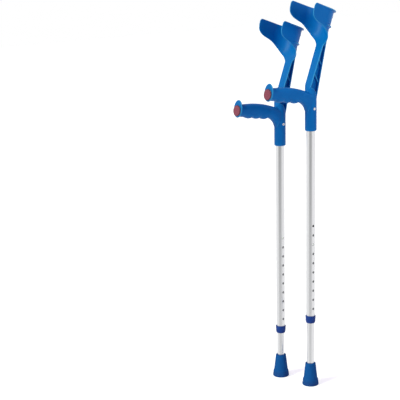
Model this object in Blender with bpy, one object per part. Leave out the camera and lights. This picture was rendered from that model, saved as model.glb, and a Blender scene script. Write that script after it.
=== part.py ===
"""A pair of forearm crutches, standing side by side on their rubber tips.

Metres, +Z up. The origin is the middle of the right crutch's tread, on the floor.
The hand grips point to -Y, and the rivets, height holes and spring buttons face +X.
A handle is modelled with its own zero at the lower end of the tube socket, on the
tube's axis. Height there is z, and a distance forward of the axis is -y.
"""

import math

import bmesh
import bpy
from mathutils import Matrix, Vector

# Fits and facets
FIT_GAP = 0.0003
FACETS = 24
SMALL_FACETS = 16
HOLE_FACETS = 12

# Where the left crutch stands beside the right one, and the hole that holds each
# button, counted from the top
LEFT_CRUTCH_ASIDE = 0.100
LEFT_CRUTCH_AHEAD = 0.020
RIGHT_HOLE = 3
LEFT_HOLE = 1

# Aluminium tubes
UPPER_TUBE_RADIUS = 0.011
UPPER_TUBE_WALL = 0.0012
LOWER_TUBE_WALL = 0.0015
HOLE_COUNT = 10
HOLE_PITCH = 0.025
SOCKET_TO_FIRST_HOLE = 0.249
LAST_HOLE_TO_TUBE_END = 0.0355
BUTTON_HEIGHT = 0.388
LOWER_TUBE_ABOVE_BUTTON = 0.030

# Spring button and the leaf spring that carries it
BUTTON_RADIUS = 0.0028
BUTTON_PROUD = 0.0018
BUTTON_DOME = 0.0010
BUTTON_FLANGE_EXTRA = 0.0008
BUTTON_FLANGE_THICKNESS = 0.0009
LEAF_THICKNESS = 0.0008
LEAF_WIDTH = 0.008
LEAF_LENGTH = 0.046
LEAF_ABOVE_BUTTON = 0.008
LEAF_PAD_BELOW = 0.005
LEAF_BEND_RADIUS = 0.0024

# Rubber ferrule and its steel washer
FERRULE_HEIGHT = 0.0605
FERRULE_BASE_RADIUS = 0.0218
FERRULE_RIM_WALL = 0.0037
FERRULE_STEP_HEIGHT = 0.0178
FERRULE_STEP_RADIUS = 0.0200
FERRULE_STEP_DEPTH = 0.0014
FERRULE_STEP_SLOPE = 0.0012
FERRULE_RIM_EDGE = 0.0012
FERRULE_MOUTH_EDGE = 0.0006
FERRULE_FLOOR = 0.012
FERRULE_EDGE_RADIUS = 0.0028
TREAD_GROOVE_DEPTH = 0.0015
TREAD_GROOVE_WIDTH = 0.0024
TREAD_GROOVE_RADII = (0.0095,)
WASHER_THICKNESS = 0.0015
WASHER_HOLE_RADIUS = 0.004

# Anti-rattle collar on the lower end of the upper tube
COLLAR_HEIGHT = 0.0195
COLLAR_WALL = 0.0022
COLLAR_LIP_HEIGHT = 0.004
COLLAR_LIP_WALL = 0.0010
COLLAR_CURVE_HEIGHT = 0.0095
COLLAR_DRAFT = 0.0005
COLLAR_EDGE = 0.0006

# Tube socket of the handle, and its rivet
SOCKET_WALL = 0.0037
SOCKET_DEPTH = 0.085
SOCKET_EDGE_RADIUS = 0.0030
RIVET_HEIGHT = 0.058
RIVET_SHANK_RADIUS = 0.0021
RIVET_HOLE_RADIUS = 0.0013
RIVET_HEAD_RADIUS = 0.0034
RIVET_HEAD_THICKNESS = 0.0009
RIVET_HEAD_EDGE = 0.0004
RIVET_SEAT_DEPTH = 0.0006

# Stem between socket and cuff
STEM_SQUARE_HEIGHT = 0.126
STEM_FOOT_TOP = 0.1205
STEM_REAR_START = 0.080
STEM_REAR_SQUARE = 0.098
STEM_FRONT_LEAN = math.radians(21.0)
STEM_REAR_LEAN = math.radians(13.1)
STEM_FRONT_FOOT = 0.1045
STEM_REAR_FOOT = 0.0995
STEM_LOWER_HALF_WIDTH = 0.012
STEM_REAR_HALF_WIDTH = 0.011
STEM_CORNER_RADIUS = 0.0009
NECK_HEIGHT = 0.217
NECK_HALF_WIDTH = 0.0135
FLANGE_THICKNESS = 0.0031
WEB_THICKNESS = 0.0035
POCKET_ABOVE_NECK = 0.013
POCKET_FLOOR_FRONT = 0.112
POCKET_FLOOR_REAR = 0.091
POCKET_FLOOR_POWER = 1.6
RIB_COUNT = 3
RIB_ABOVE_NECK = 0.0043
RIB_PITCH = 0.0368
RIB_SLOPE = math.radians(62.0)
RIB_THICKNESS = 0.0026
RIB_SETBACK = 0.0025

# Forearm cuff. Its axis leans back, and heights along that axis start at the neck.
# The wings rise toward their tips and stand a little open.
CUFF_LEAN = math.radians(18.0)
WING_RISE = math.radians(20.3)
WING_SPLAY = math.radians(4.0)
CUFF_RADIUS = 0.0424
CUFF_WALL = 0.0026
CUFF_COLUMNS = 20
CUFF_RIM = 0.088
CUFF_BACK = 0.0046
CUFF_BACK_HEIGHT = 0.060
WING_REACH = 0.085
WING_TIP_HEIGHT = 0.0095
WING_TIP_REACH = 0.0075
RIM_LIP = 0.005
RIM_LIP_HEIGHT = 0.0030
RIDGE_HEIGHT = 0.0450
RIDGE_SIZE = 0.0036
RIDGE_PROUD = 0.0036
RIDGE_FLANK = 0.0004
BUMP_BELOW_RIM = 0.0170
BUMP_SIZE = 0.003
BUMP_PROUD = 0.0018
# From the neck up to the band: height, how much of the way from the neck's width to
# the rim's the cuff has widened, and how much of the wing's reach its front edge has
CUFF_OUTLINE = (
    (-0.0010, 0.00, 0.000),
    (0.0050, 0.15, 0.001),
    (0.0110, 0.35, 0.004),
    (0.0184, 0.61, 0.079),
    (0.0245, 0.75, 0.148),
    (0.0298, 0.83, 0.228),
    (0.0372, 0.87, 0.366),
    (0.0413, 0.885, 0.472),
    (0.0443, 0.89, 0.640),
    (0.0465, 0.895, 0.770),
    (0.0510, 0.905, 0.885),
    (0.0558, 0.92, 0.950),
    (0.0617, 0.935, 0.987),
    (0.0691, 0.955, 1.000),
)
SCOOP_ROOT_HEIGHT = -0.012
SCOOP_ROOT_DEPTH = 0.0014

# Hand grip, with lengths forward of the tube's axis
GRIP_HALF_WIDTH = 0.0143
GRIP_SHIELD_FORWARD = 0.1365
GRIP_RISE = math.radians(8.4)
GRIP_CREST_FORWARD = 0.125
GRIP_CREST_HEIGHT = 0.1216
GRIP_SAG = 0.0122
GRIP_SAG_LENGTH = 0.090
GRIP_SAG_POWER = 2.3
GRIP_SQUARENESS = 2.25
GRIP_POINTS = 16
FINGER_FIRST = 0.045
FINGER_PITCH = 0.0245
FINGER_COUNT = 3
FINGER_DEPTH = 0.0035
FINGER_STEPS = 6
FINGER_VALLEY_HEIGHT = 0.0777
SWEEP_DROP = 0.030
SWEEP_START = 1.6
SWEEP_END = 0.6
SHIELD_WIDTH = 0.0335
SHIELD_HEIGHT = 0.0456
SHIELD_THICKNESS = 0.0036
SHIELD_EDGE = 0.0011
SHIELD_RAISE = 0.0050
REFLECTOR_RADIUS = 0.014
REFLECTOR_THICKNESS = 0.0026
REFLECTOR_EDGE = 0.0006
REFLECTOR_PLUG_RADIUS = 0.0035
REFLECTOR_PLUG_LENGTH = 0.012

# Sizes that follow from the ones above
LOWER_TUBE_RADIUS = UPPER_TUBE_RADIUS - UPPER_TUBE_WALL - FIT_GAP
LOWER_TUBE_BORE = LOWER_TUBE_RADIUS - LOWER_TUBE_WALL
HOLE_RADIUS = BUTTON_RADIUS + FIT_GAP
SOCKET_BORE = UPPER_TUBE_RADIUS + FIT_GAP
SOCKET_RADIUS = SOCKET_BORE + SOCKET_WALL
TUBE_BELOW_SOCKET = (
    SOCKET_TO_FIRST_HOLE + (HOLE_COUNT - 1) * HOLE_PITCH + LAST_HOLE_TO_TUBE_END
)
BUTTON_FLANGE_RADIUS = HOLE_RADIUS + BUTTON_FLANGE_EXTRA
BUTTON_SEAT = math.sqrt((LOWER_TUBE_BORE - FIT_GAP) ** 2 - BUTTON_FLANGE_RADIUS**2)
LEAF_FACE = BUTTON_SEAT - BUTTON_FLANGE_THICKNESS - FIT_GAP
LEAF_BACK = math.sqrt((LOWER_TUBE_BORE - FIT_GAP) ** 2 - (LEAF_WIDTH / 2) ** 2)
BUTTON_TIP = UPPER_TUBE_RADIUS + BUTTON_PROUD
WASHER_SEAT = FERRULE_FLOOR + FIT_GAP
LOWER_TUBE_FOOT = WASHER_SEAT + WASHER_THICKNESS + FIT_GAP

BLUE = (0.004, 0.107, 0.402)
NAVY = (0.013, 0.045, 0.262)
RUBBER_BLUE = (0.007, 0.080, 0.328)
REFLECTOR_RED = (0.376, 0.061, 0.102)
ALUMINIUM = (0.78, 0.78, 0.80)
STEEL = (0.62, 0.62, 0.64)
SPRING_STEEL = (0.30, 0.30, 0.32)


def clear_scene():
    for thing in list(bpy.data.objects):
        bpy.data.objects.remove(thing, do_unlink=True)
    for group in list(bpy.data.collections):
        bpy.data.collections.remove(group)


def material(name, colour, roughness, metallic=0.0):
    made = bpy.data.materials.new(name)
    made.use_nodes = True
    shader = made.node_tree.nodes["Principled BSDF"]
    shader.inputs["Base Color"].default_value = (*colour, 1.0)
    shader.inputs["Roughness"].default_value = roughness
    shader.inputs["Metallic"].default_value = metallic
    return made


def closed_mesh(name, build):
    """The bmesh as a mesh whose faces all point outward."""
    bmesh.ops.recalc_face_normals(build, faces=build.faces)
    mesh = bpy.data.meshes.new(name)
    build.to_mesh(mesh)
    build.free()
    return mesh


def solid(name, mesh):
    made = bpy.data.objects.new(name, mesh)
    bpy.context.scene.collection.objects.link(made)
    return made


def tool(name, mesh):
    """A body that only cuts or joins another, shown as a wire."""
    made = solid(name, mesh)
    made.hide_render = True
    made.display_type = "WIRE"
    return made


def combine(target, tools, operation):
    """Joins all the tools to the target, or cuts them all from it, in one step."""
    group = bpy.data.collections.new(tools[0].name)
    for other in tools:
        group.objects.link(other)
    step = target.modifiers.new(group.name, "BOOLEAN")
    step.operation = operation
    step.operand_type = "COLLECTION"
    step.collection = group


def baked(target):
    """The target's mesh with its modifiers applied, so that both crutches can share it."""
    bpy.context.view_layer.update()
    graph = bpy.context.evaluated_depsgraph_get()
    mesh = bpy.data.meshes.new_from_object(target.evaluated_get(graph))
    clear_scene()
    mesh.materials.clear()
    return mesh


def rounded(mesh, angle=35.0):
    mesh.shade_smooth()
    mesh.set_sharp_from_angle(angle=math.radians(angle))
    return mesh


def blend(low, high, share):
    return low + (high - low) * share


def way(value, low, high):
    """How far value is on the straight way from low to high, from 0 to 1."""
    return min(max((value - low) / (high - low), 0.0), 1.0)


def between(value, low, high):
    """How far value is on the way from low to high, with a soft start and end."""
    share = way(value, low, high)
    return share * share * (3.0 - 2.0 * share)


def arc(centre, radius, start, end, steps):
    """Points of an arc about centre, from angle start to angle end, in degrees."""
    angles = [math.radians(blend(start, end, step / steps)) for step in range(steps + 1)]
    return [
        (centre[0] + radius * math.cos(angle), centre[1] + radius * math.sin(angle))
        for angle in angles
    ]


def turned(name, profile, facets=FACETS, closed=True):
    """A profile of (radius, height) points turned round the Z axis.

    A closed profile makes a ring or tube. An open one starts and ends on the axis.
    """
    build = bmesh.new()
    corners = [build.verts.new((radius, 0.0, height)) for radius, height in profile]
    pairs = list(zip(corners, corners[1:]))
    if closed:
        pairs.append((corners[-1], corners[0]))
    edges = [build.edges.new(pair) for pair in pairs]
    bmesh.ops.spin(
        build,
        geom=corners + edges,
        cent=(0.0, 0.0, 0.0),
        axis=(0.0, 0.0, 1.0),
        angle=math.tau,
        steps=facets,
        use_merge=True,
    )
    bmesh.ops.remove_doubles(build, verts=build.verts, dist=1e-6)
    return rounded(closed_mesh(name, build))


def rod(name, radius, low, high, facets=FACETS):
    return turned(name, [(0, low), (radius, low), (radius, high), (0, high)], facets, False)


def lofted(name, rings):
    """A body skinned over rings with the same number of points, with flat ends."""
    build = bmesh.new()
    loops = [[build.verts.new(point) for point in ring] for ring in rings]
    for near, far in zip(loops, loops[1:]):
        for step in range(len(near)):
            after = (step + 1) % len(near)
            build.faces.new((near[step], near[after], far[after], far[step]))
    build.faces.new(loops[0])
    build.faces.new(loops[-1])
    return closed_mesh(name, build)


def prisms(name, outlines, spans):
    """Each (y, z) outline drawn out along X over each (low, high) span."""
    build = bmesh.new()
    for low, high in spans:
        for outline in outlines:
            near = build.faces.new([build.verts.new((low, y, z)) for y, z in outline])
            grown = bmesh.ops.extrude_face_region(build, geom=[near])
            moved = [item for item in grown["geom"] if isinstance(item, bmesh.types.BMVert)]
            bmesh.ops.translate(build, verts=moved, vec=(high - low, 0.0, 0.0))
    return closed_mesh(name, build)


def along_x(mesh):
    """Turns a mesh made round Z so that its axis runs along +X."""
    mesh.transform(Matrix.Rotation(math.radians(90.0), 4, "Y"))
    return mesh


def front_line(height):
    """y of the stem's front face, at a height above the socket's lower end."""
    return max(0.0, height - STEM_FRONT_FOOT) * math.tan(STEM_FRONT_LEAN) - SOCKET_RADIUS


def rear_line(height):
    """y of the stem's rear face."""
    return max(0.0, height - STEM_REAR_FOOT) * math.tan(STEM_REAR_LEAN) + SOCKET_RADIUS


def cuff_point(across, up, forward):
    """A point given in the cuff's leaning axes, with their zero at the neck's front face."""
    y = front_line(NECK_HEIGHT) + up * math.sin(CUFF_LEAN) - forward * math.cos(WING_RISE)
    z = NECK_HEIGHT + up * math.cos(CUFF_LEAN) + forward * math.sin(WING_RISE)
    return Vector((across, y, z))


def along(points, value):
    """The second number of each pair in points, read at value of the first along straight lines."""
    before, after = points[0], points[-1]
    for low, high in zip(points, points[1:]):
        if value <= high[0]:
            before, after = low, high
            break
    return blend(before[1], after[1], way(value, before[0], after[0]))


def cuff_section(up):
    """Half width, floor and front edge of the cuff's inside at one height."""
    if up <= SCOOP_ROOT_HEIGHT:
        return NECK_HALF_WIDTH, -SCOOP_ROOT_DEPTH, -SCOOP_ROOT_DEPTH
    widening = along([(row[0], row[1]) for row in CUFF_OUTLINE] + [(CUFF_RIM, 1.0)], up)
    half_width = blend(NECK_HALF_WIDTH, CUFF_RADIUS, widening)
    floor = -CUFF_BACK * between(up, 0.0, CUFF_BACK_HEIGHT)
    front = along([(row[0], row[2]) for row in CUFF_OUTLINE], up) * WING_REACH
    over = way(up, CUFF_RIM - WING_TIP_HEIGHT, CUFF_RIM)
    front -= WING_TIP_REACH * (1.0 - math.sqrt(1.0 - over * over))
    return half_width, floor, max(front, floor)


def cuff_wall(up, angle, share):
    """Wall thickness with the rim's lip, the lower ridge and the rear bump.

    angle is the way round from the rear, and share is 0 at the rear and 1 at the front edge.
    """
    turn = abs(math.degrees(angle))
    wall = CUFF_WALL
    if up >= CUFF_RIM - RIM_LIP_HEIGHT:
        wall += RIM_LIP * (1.0 - between(share, 0.35, 0.95))
    if RIDGE_HEIGHT <= up <= RIDGE_HEIGHT + RIDGE_SIZE:
        wall += RIDGE_PROUD * (1.0 - between(turn, 62.0, 92.0))
    if abs(up - CUFF_RIM + BUMP_BELOW_RIM) < 0.1 * BUMP_SIZE:
        wall += BUMP_PROUD * (1.0 - between(turn, 22.0, 48.0))
    return wall


def cuff_row(up):
    """Inner and outer points of the U-shaped section at one height along the cuff."""
    half_width, floor, front = cuff_section(up)
    depth = max(front - floor, 1e-5)
    if depth < half_width:
        turn = 2.0 * math.atan(depth / half_width)
        radius = half_width / math.sin(turn)
        arm = 0.0
    else:
        turn = math.pi / 2
        radius = half_width
        arm = depth - half_width
    length = radius * turn + arm
    inner, outer = [], []
    for column in range(CUFF_COLUMNS + 1):
        side = 2.0 * column / CUFF_COLUMNS - 1.0
        run = abs(side) * length
        angle = min(run / radius, turn)
        straight = max(run - radius * turn, 0.0)
        sign = math.copysign(1.0, side)
        across = sign * (radius * math.sin(angle) + straight * math.tan(WING_SPLAY))
        forward = floor + radius * (1.0 - math.cos(angle)) + straight
        wall = cuff_wall(up, angle, abs(side))
        inner.append(cuff_point(across, up, forward))
        outer.append(
            cuff_point(
                across + sign * wall * math.sin(angle), up, forward - wall * math.cos(angle)
            )
        )
    return inner, outer


def cuff_heights():
    """Heights of the rows: those of the outline, and the edges of the lip, ridge and bump."""
    flank = RIDGE_FLANK
    lip, bump = CUFF_RIM - RIM_LIP_HEIGHT, CUFF_RIM - BUMP_BELOW_RIM
    edges = [SCOOP_ROOT_HEIGHT, RIDGE_HEIGHT - flank, RIDGE_HEIGHT]
    edges += [RIDGE_HEIGHT + RIDGE_SIZE, RIDGE_HEIGHT + RIDGE_SIZE + flank]
    edges += [bump - BUMP_SIZE, bump, bump + BUMP_SIZE, lip - flank, lip, CUFF_RIM]
    edges += [blend(lip, bump + BUMP_SIZE, 0.45), blend(lip, CUFF_RIM, 0.6)]
    fixed = [up for up in edges if up <= CUFF_RIM]
    between_edges = [
        row[0]
        for row in CUFF_OUTLINE
        if row[0] < CUFF_RIM and all(abs(row[0] - up) > 2.5 * flank for up in fixed)
    ]
    return sorted(fixed + between_edges)


def cuff_mesh():
    """The cuff and the scoop below it: one wall with an inner and an outer skin."""
    build = bmesh.new()
    rows = []
    for up in cuff_heights():
        inner, outer = cuff_row(up)
        rows.append([build.verts.new(point) for point in inner + outer[::-1]])
    for near, far in zip(rows, rows[1:]):
        for step in range(len(near)):
            after = (step + 1) % len(near)
            build.faces.new((near[step], near[after], far[after], far[step]))
    for row in (rows[0], rows[-1]):
        for step in range(CUFF_COLUMNS):
            back = len(row) - 1 - step
            build.faces.new((row[step], row[step + 1], row[back - 1], row[back]))
    return closed_mesh("cuff wall", build)


def rounded_section(front, rear, height):
    """A ring with a front and a rear side and four round corners, six points each.

    front and rear are each given as (y, half width, corner radius).
    """
    steps = 6
    corners = (
        (rear[1], rear[0], rear[2], 0.0),
        (-rear[1], rear[0], rear[2], 90.0),
        (-front[1], front[0], front[2], 180.0),
        (front[1], front[0], front[2], 270.0),
    )
    ring = []
    for x, y, radius, start in corners:
        centre_x = x - math.copysign(radius, x)
        centre_y = y - radius if start < 180.0 else y + radius
        for step in range(steps):
            angle = math.radians(start + 90.0 * (step + 0.5) / steps)
            ring.append(
                (
                    centre_x + radius * math.cos(angle),
                    centre_y + radius * math.sin(angle),
                    height,
                )
            )
    return ring


def socket_ring(radius, height):
    return rounded_section((-radius, radius, radius), (radius, radius, radius), height)


def stem_ring(height, recess=0.0):
    """The stem's outline, with a rear side that turns from round to square above its start."""
    rear_share = way(height, STEM_REAR_START, STEM_REAR_SQUARE)
    rear_half = blend(SOCKET_RADIUS, STEM_REAR_HALF_WIDTH, rear_share)
    rear_radius = blend(SOCKET_RADIUS, STEM_CORNER_RADIUS, rear_share)
    half = blend(
        STEM_LOWER_HALF_WIDTH, NECK_HALF_WIDTH, way(height, STEM_SQUARE_HEIGHT, NECK_HEIGHT)
    )
    if recess:
        half = STEM_REAR_HALF_WIDTH
    front = (front_line(height) + recess, half, STEM_CORNER_RADIUS)
    return rounded_section(front, (rear_line(height), rear_half, rear_radius), height)


def foot_ring(height):
    """The stem's foot: the socket's circle, cut flat in front by the leaning front face."""
    rear = stem_ring(height)
    steps = len(rear) // 4
    reach = math.asin(min(-front_line(height) / SOCKET_RADIUS, 1.0))
    late = blend(0.5, 0.9, way(height, STEM_REAR_SQUARE, STEM_FRONT_FOOT))
    angles = [reach * (step + late) / steps for step in range(steps)]
    left = [(-math.cos(angle), -math.sin(angle)) for angle in angles]
    right = [(-x, y) for x, y in reversed(left)]
    front = [(x * SOCKET_RADIUS, y * SOCKET_RADIUS, height) for x, y in left + right]
    return rear[: 2 * steps] + front


def stem_mesh():
    """Socket and stem as one solid post, before the pockets and the bore are cut."""
    edge = SOCKET_EDGE_RADIUS
    rings = [
        socket_ring(SOCKET_RADIUS - edge + reach, height)
        for reach, height in arc((0.0, edge), edge, -90.0, 0.0, 3)
    ]
    rear_heights = [blend(STEM_REAR_START, STEM_REAR_SQUARE, share) for share in (0.0, 0.5, 1.0)]
    shares = (0.0, 0.12, 0.28, 0.47, 0.72, 1.0)
    front_heights = [blend(STEM_FRONT_FOOT, STEM_FOOT_TOP, share) for share in shares]
    rings += [foot_ring(height) for height in rear_heights + front_heights]
    rings += [stem_ring(STEM_SQUARE_HEIGHT), stem_ring(NECK_HEIGHT)]
    hidden = CUFF_WALL / 2
    rings += [stem_ring(NECK_HEIGHT + POCKET_ABOVE_NECK / 2, hidden)]
    ridge_middle = cuff_point(0.0, RIDGE_HEIGHT + RIDGE_SIZE / 2, -CUFF_BACK)
    rings += [stem_ring(ridge_middle.z, hidden)]
    return lofted("post", rings)


def pocket_front(height):
    return front_line(height) + FLANGE_THICKNESS / math.cos(STEM_FRONT_LEAN)


def pocket_rear(height):
    return rear_line(height) - FLANGE_THICKNESS / math.cos(STEM_REAR_LEAN)


def rib_outline(rib):
    """A rib that slopes down rearward, its ends sunk in the front and the rear flange."""
    top = NECK_HEIGHT + RIB_ABOVE_NECK - rib * RIB_PITCH
    steep = math.tan(RIB_SLOPE)
    half = RIB_THICKNESS / 2 / math.cos(RIB_SLOPE)
    sunk = FLANGE_THICKNESS / 2
    start = pocket_front(top) - sunk
    fall = pocket_rear(top) - pocket_front(top)
    end = start + sunk + fall / (1.0 + steep * math.tan(STEM_REAR_LEAN)) + sunk
    level = top + sunk * steep
    drop = level - (end - start) * steep
    return [(start, level + half), (start, level - half), (end, drop - half), (end, drop + half)]


def pocket_floor():
    """The curved lower end of a pocket, from the front flange down to the rear one."""
    front, rear = pocket_front(POCKET_FLOOR_FRONT), pocket_rear(POCKET_FLOOR_REAR)
    steps = 6
    points = []
    for step in range(steps + 1):
        share = step / steps
        drop = (POCKET_FLOOR_FRONT - POCKET_FLOOR_REAR) * share**POCKET_FLOOR_POWER
        points.append((blend(front, rear, share), POCKET_FLOOR_FRONT - drop))
    return points


def pocket_outline():
    top = NECK_HEIGHT + POCKET_ABOVE_NECK
    corners = [(pocket_rear(STEM_REAR_FOOT), STEM_REAR_FOOT), (pocket_rear(top), top)]
    return pocket_floor() + corners + [(pocket_front(top), top)]


def valley_line(forward):
    """Height of the line that the finger grooves reach up to."""
    return FINGER_VALLEY_HEIGHT + (forward - FINGER_FIRST) * math.tan(GRIP_RISE)


def grip_top(forward):
    back = max(GRIP_CREST_FORWARD - forward, 0.0) / GRIP_SAG_LENGTH
    return GRIP_CREST_HEIGHT - GRIP_SAG * back**GRIP_SAG_POWER


def grip_middle(forward):
    return (grip_top(forward) + valley_line(forward)) / 2


def grip_bottom(forward):
    """The underside: a sweep down to the socket, three finger bumps, then straight to the shield."""
    last = FINGER_FIRST + FINGER_COUNT * FINGER_PITCH
    if forward < FINGER_FIRST:
        reach = min((FINGER_FIRST - forward) / (FINGER_FIRST - SOCKET_RADIUS), 1.0)
        fall = 1.0 - (1.0 - reach**SWEEP_START) ** SWEEP_END
        return FINGER_VALLEY_HEIGHT - SWEEP_DROP * fall
    if forward > last:
        return valley_line(forward)
    wave = abs(math.sin(math.pi * (forward - FINGER_FIRST) / FINGER_PITCH))
    return valley_line(forward) - FINGER_DEPTH * wave**0.8


def grip_ring(forward, half_width):
    """The grip's outline, upright at the socket and leaning back with the shield at the end."""
    middle = grip_middle(forward)
    last = FINGER_FIRST + FINGER_COUNT * FINGER_PITCH
    lean = math.tan(GRIP_RISE) * way(forward, last, GRIP_SHIELD_FORWARD)
    ring = []
    for step in range(GRIP_POINTS):
        angle = math.tau * step / GRIP_POINTS
        bulge = 2.0 / GRIP_SQUARENESS
        across = math.copysign(abs(math.cos(angle)) ** bulge, math.cos(angle))
        level = math.copysign(abs(math.sin(angle)) ** bulge, math.sin(angle))
        height = grip_top(forward) - middle if level > 0 else middle - grip_bottom(forward)
        rise = height * level
        ring.append((half_width * across, rise * lean - forward, middle + rise))
    return ring


def grip_stations():
    """Distances forward of the tube's axis at which the grip's outline is drawn."""
    root = [SOCKET_RADIUS * share for share in (-0.2, 0.5, 0.95)]
    shares = (0.05, 0.14, 0.28, 0.46, 0.64, 0.82)
    sweep = [blend(SOCKET_RADIUS, FINGER_FIRST, share) for share in shares]
    fingers = [
        FINGER_FIRST + FINGER_PITCH * step / FINGER_STEPS
        for step in range(FINGER_COUNT * FINGER_STEPS + 1)
    ]
    end = [blend(fingers[-1], GRIP_SHIELD_FORWARD, share) for share in (0.45, 1.0)]
    return root + sweep + fingers + end


def grip_mesh():
    rings = []
    for forward in grip_stations():
        root = min(GRIP_HALF_WIDTH, SOCKET_RADIUS - 0.0008)
        swell = between(forward, 0.0, FINGER_FIRST)
        rings.append(grip_ring(forward, blend(root, GRIP_HALF_WIDTH, swell)))
    return lofted("grip", rings)


def shield_frame():
    """The grip end's own axes: +Z points out of the grip along its rising axis, +Y is up."""
    out = Vector((0.0, -math.cos(GRIP_RISE), math.sin(GRIP_RISE)))
    up = Vector((0.0, math.sin(GRIP_RISE), math.cos(GRIP_RISE)))
    across = up.cross(out)
    frame = Matrix((across, up, out)).transposed().to_4x4()
    middle = Vector((0.0, -GRIP_SHIELD_FORWARD, grip_middle(GRIP_SHIELD_FORWARD)))
    return Matrix.Translation(middle) @ frame


def shield_mesh():
    """The oval plate at the end of the grip, with rounded edges."""
    edge = SHIELD_EDGE
    half = SHIELD_THICKNESS / 2
    rings = []
    for inset, level in ((edge, -half), (0.0, edge - half), (0.0, half - edge), (edge, half)):
        ring = []
        for step in range(FACETS):
            angle = math.tau * step / FACETS
            x = (SHIELD_WIDTH / 2 - inset) * math.cos(angle)
            y = (SHIELD_HEIGHT / 2 - inset) * math.sin(angle) + SHIELD_RAISE
            ring.append((x, y, level))
        rings.append(ring)
    mesh = lofted("shield", rings)
    mesh.transform(shield_frame())
    return mesh


def rivet_way_mesh():
    """What the rivet needs cut away: its hole, and a flat seat for each head."""
    shank = RIVET_SHANK_RADIUS + FIT_GAP
    head = RIVET_HEAD_RADIUS + FIT_GAP
    seat = SOCKET_RADIUS - RIVET_SEAT_DEPTH
    outer = 2.0 * SOCKET_RADIUS
    half = [(shank, seat), (head, seat), (head, outer), (0.0, outer)]
    profile = [(radius, -level) for radius, level in reversed(half)] + half
    mesh = along_x(turned("rivet way", profile, SMALL_FACETS, False))
    mesh.transform(Matrix.Translation((0.0, 0.0, RIVET_HEIGHT)))
    return mesh


def plug_hole_mesh():
    depth = REFLECTOR_PLUG_LENGTH + FIT_GAP - SHIELD_THICKNESS / 2
    radius = REFLECTOR_PLUG_RADIUS + FIT_GAP
    mesh = rod("plug hole", radius, -depth, SHIELD_THICKNESS, SMALL_FACETS)
    mesh.transform(shield_frame())
    return mesh


def handle_mesh():
    """Cuff, stem, grip, shield and socket as one moulding."""
    handle = solid("handle", stem_mesh())
    shapes = (("cuff", cuff_mesh()), ("grip", grip_mesh()), ("shield", shield_mesh()))
    combine(handle, [tool(name, mesh) for name, mesh in shapes], "UNION")

    outer = 2.0 * SOCKET_RADIUS
    web = WEB_THICKNESS / 2
    pockets = prisms("pockets", [pocket_outline()], ((-outer, -web), (web, outer)))
    combine(handle, [tool("pockets", pockets)], "DIFFERENCE")
    rib_half = STEM_REAR_HALF_WIDTH - RIB_SETBACK
    ribs = prisms("ribs", [rib_outline(rib) for rib in range(RIB_COUNT)], ((-rib_half, rib_half),))
    combine(handle, [tool("ribs", ribs)], "UNION")

    bore = rod("bore", SOCKET_BORE, -SOCKET_WALL, SOCKET_DEPTH + FIT_GAP)
    cuts = (("bore", bore), ("rivet way", rivet_way_mesh()), ("plug hole", plug_hole_mesh()))
    combine(handle, [tool(name, mesh) for name, mesh in cuts], "DIFFERENCE")
    return rounded(baked(handle), 32.0)


def reflector_mesh():
    """A red disc with a plug that presses into the end of the grip."""
    face = SHIELD_THICKNESS / 2 + FIT_GAP
    top = face + REFLECTOR_THICKNESS
    edge = REFLECTOR_EDGE
    foot = face - REFLECTOR_PLUG_LENGTH
    profile = [(0, foot), (REFLECTOR_PLUG_RADIUS, foot)]
    profile += [(REFLECTOR_PLUG_RADIUS, face), (REFLECTOR_RADIUS, face)]
    profile += [(REFLECTOR_RADIUS, top - edge), (REFLECTOR_RADIUS - edge, top), (0, top)]
    mesh = turned("reflector", profile, FACETS, False)
    mesh.transform(shield_frame())
    return mesh


def rivet_mesh():
    """A tubular rivet with a flat ring head at each side of the socket."""
    under = SOCKET_RADIUS - RIVET_SEAT_DEPTH + FIT_GAP
    top = under + RIVET_HEAD_THICKNESS
    half = [(RIVET_SHANK_RADIUS, under), (RIVET_HEAD_RADIUS, under)]
    edge = RIVET_HEAD_EDGE
    half += [(RIVET_HEAD_RADIUS, top - edge), (RIVET_HEAD_RADIUS - edge, top)]
    half += [(RIVET_HOLE_RADIUS + edge, top), (RIVET_HOLE_RADIUS, top - edge)]
    profile = half + [(radius, -height) for radius, height in reversed(half)]
    mesh = along_x(turned("rivet", profile, SMALL_FACETS))
    mesh.transform(Matrix.Translation((0.0, 0.0, RIVET_HEIGHT)))
    return mesh


def tube_mesh(name, outer, wall, low, high, cuts):
    """A tube from low to high, with round holes given as (height, radius, from x, to x)."""
    inner = outer - wall
    body = solid(name, turned(name, [(outer, low), (outer, high), (inner, high), (inner, low)]))
    drills = []
    for height, radius, start, end in cuts:
        drill = along_x(rod("drill", radius, start, end, HOLE_FACETS))
        drill.transform(Matrix.Translation((0.0, 0.0, height)))
        drills.append(tool("drill", drill))
    combine(body, drills, "DIFFERENCE")
    return rounded(baked(body))


def upper_tube_mesh():
    outer = 1.5 * UPPER_TUBE_RADIUS
    cuts = [
        (-SOCKET_TO_FIRST_HOLE - hole * HOLE_PITCH, HOLE_RADIUS, 0.0, outer)
        for hole in range(HOLE_COUNT)
    ]
    cuts.append((RIVET_HEIGHT, RIVET_SHANK_RADIUS + FIT_GAP, -outer, outer))
    low, high = -TUBE_BELOW_SOCKET, SOCKET_DEPTH
    return tube_mesh("upper tube", UPPER_TUBE_RADIUS, UPPER_TUBE_WALL, low, high, cuts)


def lower_tube_mesh():
    outer = 1.5 * UPPER_TUBE_RADIUS
    cuts = [(BUTTON_HEIGHT, HOLE_RADIUS, 0.0, outer)]
    low, high = LOWER_TUBE_FOOT, BUTTON_HEIGHT + LOWER_TUBE_ABOVE_BUTTON
    return tube_mesh("lower tube", LOWER_TUBE_RADIUS, LOWER_TUBE_WALL, low, high, cuts)


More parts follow.
